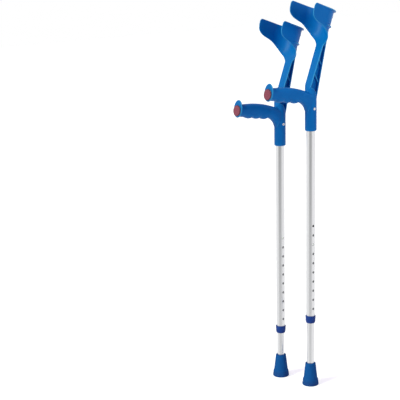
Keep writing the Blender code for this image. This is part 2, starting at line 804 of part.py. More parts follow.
def collar_mesh():
    """The collar's zero is the lower end of the upper tube, which stands on its inner ledge."""
    ledge = -FIT_GAP
    low = ledge - COLLAR_LIP_HEIGHT
    high = low + COLLAR_HEIGHT
    guide = LOWER_TUBE_RADIUS + FIT_GAP
    seat = UPPER_TUBE_RADIUS + FIT_GAP
    widest = seat + COLLAR_WALL
    narrow = guide + COLLAR_LIP_WALL
    profile = [(guide, ledge), (guide, low), (narrow, low)]
    for share in (0.25, 0.5, 0.75, 1.0):
        swell = math.sin(share * math.pi / 2)
        rise = COLLAR_CURVE_HEIGHT * (1.0 - math.cos(share * math.pi / 2))
        profile.append((blend(narrow, widest - COLLAR_DRAFT, swell), low + rise))
    edge = COLLAR_EDGE
    profile += [(widest, high - edge), (widest - edge, high), (seat, high), (seat, ledge)]
    return turned("collar", profile)


def ferrule_mesh():
    """The rubber tip: a cone with a stepped foot, a tread with two ring grooves and a bore."""
    bore = LOWER_TUBE_RADIUS + FIT_GAP
    rim = bore + FERRULE_RIM_WALL
    edge = FERRULE_EDGE_RADIUS
    profile = [(0.0, 0.0)]
    for radius in TREAD_GROOVE_RADII:
        flank = TREAD_GROOVE_WIDTH / 4
        profile += [(radius, 0.0), (radius + flank, TREAD_GROOVE_DEPTH)]
        profile += [(radius + TREAD_GROOVE_WIDTH - flank, TREAD_GROOVE_DEPTH)]
        profile += [(radius + TREAD_GROOVE_WIDTH, 0.0)]
    profile += arc((FERRULE_BASE_RADIUS - edge, edge), edge, -90.0, 0.0, 3)
    profile += [(FERRULE_STEP_RADIUS, FERRULE_STEP_HEIGHT - FERRULE_STEP_SLOPE)]
    profile += [(FERRULE_STEP_RADIUS - FERRULE_STEP_DEPTH, FERRULE_STEP_HEIGHT)]
    profile += [(rim, FERRULE_HEIGHT - FERRULE_RIM_EDGE), (rim - FERRULE_RIM_EDGE, FERRULE_HEIGHT)]
    mouth = FERRULE_MOUTH_EDGE
    profile += [(bore + mouth, FERRULE_HEIGHT), (bore, FERRULE_HEIGHT - mouth)]
    profile += [(bore, FERRULE_FLOOR), (0.0, FERRULE_FLOOR)]
    return turned("ferrule", profile, FACETS, False)


def washer_mesh():
    low, high = WASHER_SEAT, WASHER_SEAT + WASHER_THICKNESS
    outer, inner = LOWER_TUBE_RADIUS, WASHER_HOLE_RADIUS
    return turned("washer", [(outer, low), (outer, high), (inner, high), (inner, low)])


def button_mesh():
    """A domed pin with a flange that stops it in the lower tube, its zero on the tube's axis."""
    foot = BUTTON_SEAT - BUTTON_FLANGE_THICKNESS
    profile = [(0.0, foot), (BUTTON_FLANGE_RADIUS, foot), (BUTTON_FLANGE_RADIUS, BUTTON_SEAT)]
    profile += [(BUTTON_RADIUS, BUTTON_SEAT)]
    for share in (0.0, 0.33, 0.67):
        angle = share * math.pi / 2
        level = BUTTON_TIP - BUTTON_DOME * (1.0 - math.sin(angle))
        profile.append((BUTTON_RADIUS * math.cos(angle), level))
    profile.append((0.0, BUTTON_TIP))
    return along_x(turned("button", profile, SMALL_FACETS, False))


def leaf_path():
    """Middle line of the V-shaped leaf spring as (x, z), with z = 0 at the button."""
    half = LEAF_THICKNESS / 2
    button_side, far_side = LEAF_FACE - half, half - LEAF_BACK
    bend = LEAF_ABOVE_BUTTON - LEAF_LENGTH + LEAF_BEND_RADIUS
    turn = arc((0.0, bend), LEAF_BEND_RADIUS, 0.0, -180.0, 6)
    return [
        (button_side, LEAF_ABOVE_BUTTON),
        (button_side, -LEAF_PAD_BELOW),
        *turn,
        (far_side, -LEAF_PAD_BELOW),
        (far_side, LEAF_ABOVE_BUTTON),
    ]


def leaf_mesh():
    """The leaf spring: a flat strip of even thickness that follows its path."""
    path = [Vector(point) for point in leaf_path()]
    sides = ([], [])
    for number, point in enumerate(path):
        before = path[max(number - 1, 0)]
        after = path[min(number + 1, len(path) - 1)]
        first = (point - before).normalized() if number else (after - point).normalized()
        second = (after - point).normalized() if after != point else first
        mitre = (first + second).normalized()
        reach = LEAF_THICKNESS / 2 / max(mitre.dot(first), 0.5)
        across = Vector((mitre.y, -mitre.x)) * reach
        sides[0].append(point + across)
        sides[1].append(point - across)
    outline = sides[0] + sides[1][::-1]
    build = bmesh.new()
    count = len(path)
    half = LEAF_WIDTH / 2
    near = [build.verts.new((point.x, -half, point.y)) for point in outline]
    far = [build.verts.new((point.x, half, point.y)) for point in outline]
    for step in range(len(outline)):
        after = (step + 1) % len(outline)
        build.faces.new((near[step], near[after], far[after], far[step]))
    for edge in (near, far):
        for step in range(count - 1):
            back = len(edge) - 1 - step
            build.faces.new((edge[step], edge[step + 1], edge[back - 1], edge[back]))
    return closed_mesh("leaf", build)


def empty(name, place, parent=None):
    made = bpy.data.objects.new(name, None)
    made.location = place
    made.parent = parent
    made.empty_display_size = 0.02
    bpy.context.scene.collection.objects.link(made)
    return made


def piece(name, mesh, look, parent, place=(0.0, 0.0, 0.0)):
    """One named sub-part with its own material, which may share its mesh with its twin."""
    made = solid(name, mesh)
    made.parent = parent
    made.location = place
    if not mesh.materials:
        mesh.materials.append(None)
    made.material_slots[0].link = "OBJECT"
    made.material_slots[0].material = material(name, *look)
    return made


def crutch(side, meshes, place, hole):
    """One crutch. Its leg stands at place, and its button sits in the given height hole."""
    leg = empty(f"{side}_leg", place)
    socket_height = BUTTON_HEIGHT + SOCKET_TO_FIRST_HOLE + (hole - 1) * HOLE_PITCH
    slide = empty(f"{side}_height_slide", (0.0, 0.0, socket_height), leg)
    press = empty(f"{side}_button_slide", (0.0, 0.0, BUTTON_HEIGHT), leg)

    piece(f"{side}_ferrule", meshes["ferrule"], (RUBBER_BLUE, 0.7), leg)
    piece(f"{side}_ferrule_washer", meshes["washer"], (STEEL, 0.35, 1.0), leg)
    piece(f"{side}_lower_tube", meshes["lower tube"], (ALUMINIUM, 0.3, 1.0), leg)
    spring_place = (0.0, 0.0, BUTTON_HEIGHT)
    piece(f"{side}_leaf_spring", meshes["leaf"], (SPRING_STEEL, 0.4, 1.0), leg, spring_place)
    piece(f"{side}_button", meshes["button"], (STEEL, 0.25, 1.0), press)

    piece(f"{side}_upper_tube", meshes["upper tube"], (ALUMINIUM, 0.3, 1.0), slide)
    tube_end = (0.0, 0.0, -TUBE_BELOW_SOCKET)
    piece(f"{side}_collar", meshes["collar"], (NAVY, 0.45), slide, tube_end)
    piece(f"{side}_handle", meshes["handle"], (BLUE, 0.42), slide)
    piece(f"{side}_reflector", meshes["reflector"], (REFLECTOR_RED, 0.3), slide)
    piece(f"{side}_socket_rivet", meshes["rivet"], (STEEL, 0.25, 1.0), slide)


def main():
    clear_scene()
    meshes = {
        "handle": handle_mesh(),
        "reflector": reflector_mesh(),
        "rivet": rivet_mesh(),
        "upper tube": upper_tube_mesh(),
        "lower tube": lower_tube_mesh(),
        "collar": collar_mesh(),
        "ferrule": ferrule_mesh(),
        "washer": washer_mesh(),
        "button": button_mesh(),
        "leaf": leaf_mesh(),
    }
    crutch("right", meshes, (0.0, 0.0, 0.0), RIGHT_HOLE)
    crutch("left", meshes, (-LEFT_CRUTCH_ASIDE, -LEFT_CRUTCH_AHEAD, 0.0), LEFT_HOLE)
    bpy.context.view_layer.update()


main()
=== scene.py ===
"""A pair of forearm crutches: fine shapes, materials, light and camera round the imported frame.

Metres, in the frame's own axes: +Z up, the right crutch's tube on the Z axis, grips to -Y.
A handle is worked out with its zero at the lower end of its tube socket, on the tube's
axis. Height there is z, and a distance forward of the axis is -y.
"""

import math

import bmesh
import bpy
import numpy as np
from mathutils import Matrix, Vector


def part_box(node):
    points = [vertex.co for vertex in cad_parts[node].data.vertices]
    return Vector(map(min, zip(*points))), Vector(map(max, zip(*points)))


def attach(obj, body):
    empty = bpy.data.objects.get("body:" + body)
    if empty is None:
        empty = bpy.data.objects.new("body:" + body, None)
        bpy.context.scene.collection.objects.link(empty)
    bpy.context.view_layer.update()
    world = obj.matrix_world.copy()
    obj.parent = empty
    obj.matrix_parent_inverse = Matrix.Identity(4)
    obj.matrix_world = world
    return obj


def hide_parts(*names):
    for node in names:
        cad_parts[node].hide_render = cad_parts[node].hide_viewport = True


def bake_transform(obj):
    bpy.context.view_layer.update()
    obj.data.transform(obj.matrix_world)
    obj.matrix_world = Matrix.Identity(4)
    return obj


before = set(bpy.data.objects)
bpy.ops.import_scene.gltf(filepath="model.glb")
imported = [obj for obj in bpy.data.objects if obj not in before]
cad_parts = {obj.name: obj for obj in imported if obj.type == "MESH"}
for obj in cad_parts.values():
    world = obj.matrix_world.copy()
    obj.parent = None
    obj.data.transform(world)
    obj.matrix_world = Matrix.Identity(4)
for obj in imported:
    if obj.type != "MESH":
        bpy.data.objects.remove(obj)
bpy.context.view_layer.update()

SIDES = ("right", "left")

# Camera, fitted to the photograph. It stands this far from the right crutch's tube, round
# from -Y towards +X, and is then pitched down, turned aside and rolled.
CAMERA_AZIMUTH = math.radians(49.63)
CAMERA_DISTANCE = 3.2
CAMERA_HEIGHT = 1.261
CAMERA_PITCH = math.radians(-13.24)
CAMERA_YAW = math.radians(5.127)
CAMERA_ROLL = math.radians(-1.115)
CAMERA_LENS_MM = 114.07
SENSOR_MM = 36.0

# The gap between pieces that fit into each other, and how far a root is sunk into what it
# grows from, so that their skins cross
FIT_GAP = 0.0003
SUNK = 0.0008

# Tubes
UPPER_RADIUS = 0.011
UPPER_WALL = 0.0012
LOWER_RADIUS = 0.0095
LOWER_WALL = 0.0015
TUBE_EDGE = 0.0003
HOLE_RADIUS = 0.0031
HOLE_FLARE = 0.0004
HOLE_PITCH = 0.025
HOLE_COUNT = 10
SOCKET_TO_FIRST_HOLE = 0.249

# Tube socket of the handle
SOCKET_RADIUS = 0.015
SOCKET_BORE = 0.0113
SOCKET_DEPTH = 0.0853
SOCKET_EDGE = 0.0030
SOCKET_FRONT_TOP = 0.1195

# Rivet, with a head rolled over at each of its ends
RIVET_HEIGHT = 0.058
RIVET_HOLE_RADIUS = 0.0024
RIVET_HEAD_RADIUS = 0.0034
RIVET_SEAT = 0.0144
RIVET_SHANK_RADIUS = 0.0021
RIVET_BORE_RADIUS = 0.0013
ROLL_RADIUS = 0.00245
ROLL_HALF = 0.00092
ROLL_HEIGHT = 0.0009

# Stem: a front and a rear flange that lean back, a web between them and three ribs
FRONT_LEAN = math.tan(math.radians(21.0))
REAR_LEAN = math.tan(math.radians(13.1))
FRONT_FOOT = 0.1045
REAR_FOOT = 0.0995
NECK_HEIGHT = 0.217
NECK_HALF = 0.0135
NECK_INSET = 0.0013
FRONT_HALF = 0.012
REAR_HALF = 0.011
FLANGE = 0.0033
FLANGE_ROUNDING = 0.0012
WEB = 0.0035
WEB_ROUNDING = 0.0004
POCKET_TOP = 0.230
POCKET_FLOOR_FRONT = 0.112
POCKET_FLOOR_REAR = 0.091
POCKET_FLOOR_POWER = 1.6
RIB_COUNT = 3
RIB_TOP = 0.2213
RIB_PITCH = 0.0368
RIB_STEEP = math.tan(math.radians(62.0))
RIB_THICKNESS = 0.0026
RIB_HALF = 0.0085
# Heights inside the socket at which the flanges and the web start, and the height up to
# which the front flange keeps within the socket's round front
FRONT_START = 0.108
REAR_START = 0.078
WEB_START = 0.084
FRONT_FREE = 0.126

# Cuff: its axis leans back, and heights along that axis start at the neck
CUFF_LEAN = math.radians(18.0)
WING_RISE = math.radians(20.3)
WING_SPLAY = math.tan(math.radians(4.0))
CUFF_RADIUS = 0.0424
CUFF_WALL = 0.0025
CUFF_RIM = 0.088
CUFF_BACK = 0.0046
CUFF_BACK_HEIGHT = 0.060
WING_REACH = 0.085
WING_TIP_HEIGHT = 0.0095
WING_TIP_REACH = 0.0075
SCOOP_ROOT_HEIGHT = -0.012
SCOOP_ROOT_TOP = -0.001
SCOOP_ROOT_DEPTH = 0.0014
RIM_LIP = 0.005
RIM_LIP_HEIGHT = 0.0030
RIDGE_HEIGHT = 0.0450
RIDGE_SIZE = 0.0036
RIDGE_PROUD = 0.0036
BUMP_HEIGHT = 0.0710
BUMP_SIZE = 0.003
BUMP_PROUD = 0.0018
# The lip fades out over this share of the way from the rear to the front edge, and the ridge
# and the bump over these angles round from the rear
LIP_FADE = (0.35, 0.95)
RIDGE_FADE = (62.0, 92.0)
BUMP_FADE = (22.0, 48.0)
# Height along the cuff, share of its widening, and share of the wing's reach
CUFF_OUTLINE = np.array((
    (-0.0010, 0.000, 0.000), (0.0050, 0.150, 0.001), (0.0110, 0.350, 0.004),
    (0.0184, 0.610, 0.079), (0.0245, 0.750, 0.148), (0.0298, 0.830, 0.228),
    (0.0372, 0.870, 0.366), (0.0413, 0.885, 0.472), (0.0443, 0.890, 0.640),
    (0.0465, 0.895, 0.770), (0.0510, 0.905, 0.885), (0.0558, 0.920, 0.950),
    (0.0617, 0.935, 0.987), (0.0691, 0.955, 1.000), (0.0880, 1.000, 1.000),
))

# Hand grip, with lengths forward of the tube's axis
GRIP_HALF = 0.0143
SHIELD_FORWARD = 0.1365
GRIP_RISE = math.radians(8.4)
CREST_FORWARD = 0.125
CREST_HEIGHT = 0.1216
GRIP_SAG = 0.0122
GRIP_SAG_LENGTH = 0.090
GRIP_SAG_POWER = 2.3
GRIP_SQUARENESS = 2.25
FINGER_FIRST = 0.045
FINGER_PITCH = 0.0245
FINGER_COUNT = 3
FINGER_LAST = FINGER_FIRST + FINGER_COUNT * FINGER_PITCH
FINGER_DEPTH = 0.0035
FINGER_POWER = 0.8
FINGER_LINE = 0.0777
SWEEP_DROP = 0.030
SWEEP_START = 1.6
SWEEP_END = 0.6

# End shield of the grip, and the reflector whose plug sits in it
SHIELD_WIDTH = 0.0335
SHIELD_HEIGHT = 0.0456
SHIELD_THICKNESS = 0.0036
SHIELD_RAISE = 0.0050
PLUG_HOLE_RADIUS = 0.0038
PLUG_HOLE_DEPTH = 0.0105
PLUG_RADIUS = 0.0035
PLUG_LENGTH = 0.012
REFLECTOR_RADIUS = 0.014
REFLECTOR_THICKNESS = 0.0026

# Collar: a cup with a rounded foot
COLLAR_WALL = 0.0022
COLLAR_FOOT_WALL = 0.0010
COLLAR_FOOT_HEIGHT = 0.0095
COLLAR_LEDGE = 0.004

# Rubber tip: inner radii of the tread's ring grooves, and radius and height of the points of
# its foot, from the tread to the step below the cone
TREAD_GROOVES = (0.0040, 0.0095, 0.0150)
GROOVE_DEPTH = 0.0015
FOOT_OUTLINE = (
    (0.0206, 0.0), (0.0218, 0.0012), (0.0216, 0.0045), (0.0200, 0.0166), (0.0186, 0.0178),
)
CONE_TOP_RADIUS = 0.0136
TIP_BORE_FLOOR = 0.012

# Spring button, along X from the tube's axis
BUTTON_SEAT = 0.00664
BUTTON_RADIUS = 0.0028
BUTTON_FLANGE = 0.0009
BUTTON_FLANGE_RADIUS = 0.0039
BUTTON_DOME_START = 0.0118
BUTTON_DOME = 0.0010

# Its leaf spring, with x from the tube's axis and z from the button: the two sides, their
# upper ends, where they start to close in, and the bend at the bottom
LEAF_THICKNESS = 0.0008
LEAF_WIDTH = 0.008
LEAF_CHAMFER = 0.00015
LEAF_NEAR_X = 0.00504
LEAF_FAR_X = -0.00618
LEAF_TOP = 0.008
LEAF_WAIST = -0.005
LEAF_BEND = 0.0024
LEAF_BEND_HEIGHT = -0.0356
LEAF_STAYS_WITH_LEG = Vector((-0.0019, 0.0, 0.0))
LEAF_GOES_WITH_BUTTON = Vector((0.0043, 0.0, 0.00075))

# The moulding is joined on a grid this fine, its edges are eased this many times, and flat
# places then keep fewer triangles, up to about this many in all
MOULD_GRID = 0.00064
MOULD_EASE = 18
MOULD_TRIANGLES = 188000
# The unit in which the bend of its edges is kept: one over this length
BEND_LENGTH = 0.003

# Studio: each distant lamp's name, azimuth round from -Y towards +X, elevation, softness,
# strength and colour
LAMPS = (
    ("key light", -4.0, 40.0, 15.0, 1.56, "E6FFDE"),
    ("strip light", 5.0, 20.0, 8.0, 0.62, "F4FFF2"),
)
# The side light is near, so that its light falls off towards the feet: its azimuth, distance
# from the tube, height, size and power, and the height that it is aimed at
SIDE_LIGHT = (96.0, 0.90, 1.08, 0.36, 2.1)
SIDE_LIGHT_AIM = 0.93
# The light from all round, and the glow that brings the floor to white for the camera
AMBIENT = 0.30
FLOOR_LIFT = 0.64
FLOOR_REACH = 8.0
FLOOR_HEIGHT = -0.0001
# The walls that polished metal shows, and the dark gap in them: its middle, its soft sides as
# cosines, its soft lower end as the z of a direction one long, and how dark it is
WALLS = 0.87
GAP_AZIMUTH = 41.0
GAP_SIDES = (0.53, 0.97)
GAP_FOOT = (-0.345, -0.25)
GAP_DEPTH = 0.60


def linear(code):
    """An sRGB hex colour as linear red, green, blue and alpha."""
    parts = [int(code[start : start + 2], 16) / 255.0 for start in (0, 2, 4)]
    channels = [c / 12.92 if c <= 0.04045 else ((c + 0.055) / 1.055) ** 2.4 for c in parts]
    return (*channels, 1.0)


def way(value, low, high):
    """How far value is on the straight way from low to high, from 0 to 1."""
    return np.clip((value - low) / (high - low), 0.0, 1.0)


def between(value, low, high):
    """The same with a soft start and end: 3 s^2 - 2 s^3 of the straight share s."""
    share = way(value, low, high)
    return share * share * (3.0 - 2.0 * share)


def grid(x, y, z):
    """Arrays of coordinates, each spread over the shape that they share, as points (x, y, z)."""
    return np.stack(np.broadcast_arrays(x, y, z), axis=-1)


def round_angles(count):
    """Angles evenly spaced all the way round."""
    return np.linspace(0.0, math.tau, count, endpoint=False)


def skin(rows, ends="poles"):
    """Points and faces of a surface on a grid of (row, point round the row, xyz).

    Each row is a closed loop, joined to the next one by four-sided faces. The first and
    last rows close on a pole at their middle, on a strip between their two halves, or the
    last row joins the first, for "poles", "strips" and "ring".
    """
    count, size = rows.shape[:2]
    index = np.arange(count * size).reshape(count, size)
    if ends == "ring":
        index = np.vstack([index, index[:1]])
    after = np.roll(index, -1, axis=1)
    quads = np.stack([index[:-1], after[:-1], after[1:], index[1:]], axis=-1).reshape(-1, 4)
    points = rows.reshape(-1, 3)
    faces = quads.tolist()
    if ends == "poles":
        points = np.vstack([points, rows[0].mean(0), rows[-1].mean(0)])
        start, end = count * size, count * size + 1
        faces += np.stack([after[0], index[0], np.full(size, start)], axis=-1).tolist()
        faces += np.stack([index[-1], after[-1], np.full(size, end)], axis=-1).tolist()
    if ends == "strips":
        half = size // 2
        near = np.arange(half - 1)
        for row in (index[0], index[-1]):
            strip = (row[near], row[near + 1], row[size - 2 - near], row[size - 1 - near])
            faces += np.stack(strip, axis=-1).tolist()
    return points, faces


def mesh_of(name, *skins):
    """One mesh of several closed skins, all facing outwards."""
    points, faces, start = [], [], 0
    for corners, sides in skins:
        points.append(corners)
        faces += [[corner + start for corner in side] for side in sides]
        start += len(corners)
    mesh = bpy.data.meshes.new(name)
    mesh.from_pydata(np.vstack(points).tolist(), [], faces)
    build = bmesh.new()
    build.from_mesh(mesh)
    bmesh.ops.recalc_face_normals(build, faces=build.faces)
    build.to_mesh(mesh)
    build.free()
    return mesh


def eased(corners, radius, steps=5):
    """A profile with each corner P rounded: (1-t)^2 A + 2t(1-t) P + t^2 B.

    A and B lie radius away from P on its two sides. One more point on each side, at 1.6 times
    that, keeps the long straight runs straight in the shading too.
    """
    corners = np.asarray(corners, float)
    before = np.roll(corners, 1, axis=0) - corners
    after = np.roll(corners, -1, axis=0) - corners
    limit = 0.3 * np.minimum(np.linalg.norm(before, axis=1), np.linalg.norm(after, axis=1))
    reach = np.minimum(radius, limit)[:, None]
    before = corners + before / np.linalg.norm(before, axis=1)[:, None] * reach
    after = corners + after / np.linalg.norm(after, axis=1)[:, None] * reach
    share = np.linspace(0.0, 1.0, steps)[:, None, None]
    curve = (1 - share) ** 2 * before + 2 * share * (1 - share) * corners + share**2 * after
    first = corners + (before - corners) * 1.6
    last = corners + (after - corners) * 1.6
    return np.concatenate([first[None], curve, last[None]]).transpose(1, 0, 2).reshape(-1, 2)


def turned(profile, facets=96, ends="poles"):
    """A profile of (radius, height) carried round Z: (r cos a, r sin a, h)."""
    profile = np.asarray(profile, float)
    angle = round_angles(facets)
    radius, height = profile[:, :1], profile[:, 1:]
    return skin(grid(radius * np.cos(angle), radius * np.sin(angle), height), ends)


def solid_profile(corners, radius):
    """An eased open profile that starts and ends just off the axis, for a solid turned body."""
    rounded = eased(corners, radius)
    return rounded[rounded[:, 0] > 2e-5]


def along_x(mesh, height):
    """Turns a mesh made round Z so that its axis runs along +X at this height."""
    mesh.transform(Matrix.Translation((0, 0, height)) @ Matrix.Rotation(math.pi / 2, 4, "Y"))
    return mesh


def placed(name, data):
    """A new object in the scene for a mesh, a lamp or a camera."""
    made = bpy.data.objects.new(name, data)
    bpy.context.scene.collection.objects.link(made)
    return made


def modified(mesh, *steps):
    """The mesh with modifiers applied in turn, each given as its kind and its settings."""
    body = placed("body", mesh)
    for kind, settings in steps:
        step = body.modifiers.new(kind, kind)
        for name, value in settings.items():
            setattr(step, name, value)
    bpy.context.view_layer.update()
    graph = bpy.context.evaluated_depsgraph_get()
    made = bpy.data.meshes.new_from_object(body.evaluated_get(graph))
    bpy.data.objects.remove(body)
    return made


def joined(mesh):
    """The overlapping skins as one moulding, with soft fillets where they meet."""
    grid_step = ("REMESH", {"mode": "VOXEL", "voxel_size": MOULD_GRID})
    fillets = ("SMOOTH", {"factor": 0.5, "iterations": MOULD_EASE})
    mesh = modified(mesh, grid_step, fillets)
    keep(mesh, "edge", bend_of(mesh))
    share = min(1.0, MOULD_TRIANGLES / (2.0 * len(mesh.polygons)))
    return modified(mesh, ("DECIMATE", {"ratio": share}))


def cut(mesh, *tools):
    """The mesh with each tool's shape cut away."""
    cutters = [placed("cutter", tool) for tool in tools]
    cuts = [("BOOLEAN", {"operation": "DIFFERENCE", "object": cutter}) for cutter in cutters]
    made = modified(mesh, *cuts)
    for cutter in cutters:
        bpy.data.objects.remove(cutter)
    return made


def numbers(items, name, width, kind=float):
    """One property of every vertex or edge as an array with this many numbers in a row."""
    values = np.empty(len(items) * width, kind)
    items.foreach_get(name, values)
    return values.reshape(-1, width)


def keep(mesh, name, values):
    """Stores a number at each point, for a material to read."""
    kept = mesh.attributes.new(name, "FLOAT", "POINT")
    kept.data.foreach_set("value", np.ascontiguousarray(values, np.float32))


def bend_of(mesh):
    """The surface's mean bend at each point, in units of one over BEND_LENGTH.

    It comes from how far the point p stands proud of the middle m of its neighbours:
    2 (p - m) . n / (mean length squared). It is above 0 on an edge and below 0 in an inner
    corner, and is evened out by three rounds of averaging.
    """
    points, normals = numbers(mesh.vertices, "co", 3), numbers(mesh.vertex_normals, "vector", 3)
    first, second = numbers(mesh.edges, "vertices", 2, int).T
    count = len(points)
    share = np.bincount(first, minlength=count) + np.bincount(second, minlength=count)

    def mean(at_first, at_second):
        total = np.bincount(first, at_first, count) + np.bincount(second, at_second, count)
        return total / np.maximum(share, 1)

    middle = [mean(points[second, axis], points[first, axis]) for axis in range(3)]
    length = ((points[first] - points[second]) ** 2).sum(1)
    square = np.maximum(mean(length, length), 1e-9)
    edge = BEND_LENGTH * 2.0 * ((points - np.stack(middle, axis=-1)) * normals).sum(1) / square
    for _ in range(3):
        edge = (edge + mean(edge[second], edge[first])) / 2
    return edge


def front_line(z):
    """y of the stem's front face: it leans back from the front foot up."""
    return np.maximum(z - FRONT_FOOT, 0.0) * FRONT_LEAN - SOCKET_RADIUS


def rear_line(z):
    """y of the stem's rear face, one straight leaning line."""
    return (z - REAR_FOOT) * REAR_LEAN + SOCKET_RADIUS


def pocket_floor(y):
    """Height of the pockets' curved floor: it drops from the front flange to the rear one.

    The drop grows as a power of the share of the way. Behind the rear flange's inner face the
    socket's back wall goes on up to that flange's foot.
    """
    front = front_line(POCKET_FLOOR_FRONT) + FLANGE
    rear = SOCKET_RADIUS - FLANGE
    drop = (POCKET_FLOOR_FRONT - POCKET_FLOOR_REAR) * way(y, front, rear) ** POCKET_FLOOR_POWER
    wall = POCKET_FLOOR_REAR + (REAR_FOOT - POCKET_FLOOR_REAR) * way(y, rear, rear + 0.0004)
    return np.where(y > rear, wall, POCKET_FLOOR_FRONT - drop)


def socket_skin():
    """The socket: a circle carried up Z from a rounded lower edge to the pockets' floor.

    Its front is cut flat by the stem's leaning face, y = max(y, front line), which gives that
    face its pointed foot. The top's rows shrink to the axis and follow the floor.
    """
    angle = round_angles(96)
    edge = np.linspace(0.0, math.pi / 2, 7)[:, None]
    # The underside starts at a small ring, which the bore takes away
    radius = np.vstack([[[0.004]], SOCKET_RADIUS - SOCKET_EDGE * (1 - np.sin(edge))])
    low = np.vstack([[[0.0]], SOCKET_EDGE * (1 - np.cos(edge))])
    bottom = grid(radius * np.cos(angle), radius * np.sin(angle), low)
    share = np.linspace(0.0, 1.0, 60)[1:, None]
    x, y = SOCKET_RADIUS * np.cos(angle), SOCKET_RADIUS * np.sin(angle)
    inner_face = front_line(POCKET_FLOOR_FRONT) + FLANGE
    top = np.where(y < inner_face, SOCKET_FRONT_TOP, pocket_floor(y))
    z = SOCKET_EDGE + (top - SOCKET_EDGE) * share
    wall = grid(x, np.maximum(y, front_line(z)), z)
    shrink = np.linspace(0.96, 0.05, 14)[:, None]
    inner_y = shrink * wall[-1, :, 1]
    return skin(np.concatenate([bottom, wall, grid(shrink * x, inner_y, pocket_floor(inner_y))]))


def plate(z, front, rear, half, radius=FLANGE_ROUNDING):
    """A rounded rectangle carried up Z: sides at front, rear and +-half, each an array of z."""
    angle = (np.arange(24) + 0.5) / 24 * math.tau
    across, along = np.sign(np.cos(angle)), np.sign(np.sin(angle))
    x = across * (half[:, None] - radius) + radius * np.cos(angle)
    middle = ((front + rear) / 2)[:, None]
    deep = ((rear - front) / 2)[:, None]
    y = middle + along * (deep - radius) + radius * np.sin(angle)
    return skin(grid(x, y, z[:, None]))


def stem_skins():
    """The front and rear flanges, the web, the ribs and the block behind the cuff's root.

    Each is a plate between the stem's two leaning lines. The web and the block end inside the
    flanges, a little behind the front face and before the rear one.
    """
    shoulder = cuff_place(0.0, RIDGE_HEIGHT + RIDGE_SIZE / 2, -CUFF_BACK)[2]
    z = np.linspace(FRONT_START, NECK_HEIGHT + 0.008, 90)
    # At the front flange's foot the round socket is only this wide
    within = np.sqrt(np.maximum(SOCKET_RADIUS**2 - front_line(z) ** 2, 1e-6)) - 0.0002
    half = FRONT_HALF + (NECK_HALF - FRONT_HALF) * way(z, FRONT_FREE, NECK_HEIGHT)
    half = np.where(z < FRONT_FREE, np.minimum(half, within), half)
    inset = NECK_INSET * way(z, NECK_HEIGHT, NECK_HEIGHT + 0.004)
    made = [plate(z, front_line(z) + inset, front_line(z) + FLANGE, half)]
    z = np.linspace(REAR_START, shoulder, 60)
    made.append(plate(z, rear_line(z) - FLANGE, rear_line(z), np.full(60, REAR_HALF)))
    z = np.linspace(WEB_START, POCKET_TOP + 0.003, 40)
    sides = (front_line(z) + 0.0015, rear_line(z) - 0.0012)
    made.append(plate(z, *sides, np.full(40, WEB / 2), WEB_ROUNDING))
    z = np.linspace(POCKET_TOP, shoulder, 30)
    sides = (front_line(z) + NECK_INSET, rear_line(z) - 0.0005)
    made.append(plate(z, *sides, np.full(30, REAR_HALF)))
    return made + [rib_skin(RIB_TOP - rib * RIB_PITCH) for rib in range(RIB_COUNT)]


def rib_skin(top):
    """A rib: a slanted four-sided profile (y, z) carried along X between the flanges."""
    front, rear = front_line(top) + FLANGE, rear_line(top) - FLANGE
    start = front - SUNK
    end = front + (rear - front) / (1.0 + RIB_STEEP * REAR_LEAN) + FLANGE / 2
    thick = RIB_THICKNESS / 2 * math.hypot(1.0, RIB_STEEP)
    level = top + SUNK * RIB_STEEP
    drop = level - (end - start) * RIB_STEEP
    y = np.array([start, start, end, end])
    z = np.array([level + thick, level - thick, drop - thick, drop + thick])
    return skin(grid(np.linspace(-RIB_HALF, RIB_HALF, 9)[:, None], y, z))


def cuff_place(across, up, forward):
    """A point in the cuff's leaning axes, whose zero is the neck's front face."""
    y = front_line(NECK_HEIGHT) + up * math.sin(CUFF_LEAN) - forward * math.cos(WING_RISE)
    z = NECK_HEIGHT + up * math.cos(CUFF_LEAN) + forward * math.sin(WING_RISE)
    return grid(across, y, z)


def cuff_shares(up):
    """Shares of the cuff's widening and of its wings' reach at heights up.

    The straight lines between the outline's points are evened out by a sliding window of
    5 mm, up to just below the rim.
    """
    table = np.linspace(-0.02, CUFF_RIM + 0.004, 960)
    window = np.hanning(45)
    window /= window.sum()
    shares = []
    for column in (1, 2):
        line = np.interp(table, CUFF_OUTLINE[:, 0], CUFF_OUTLINE[:, column])
        smooth = np.convolve(line, window, "same")
        shares.append(np.interp(up, table, np.where(table < CUFF_RIM - 0.004, smooth, line)))
    return shares


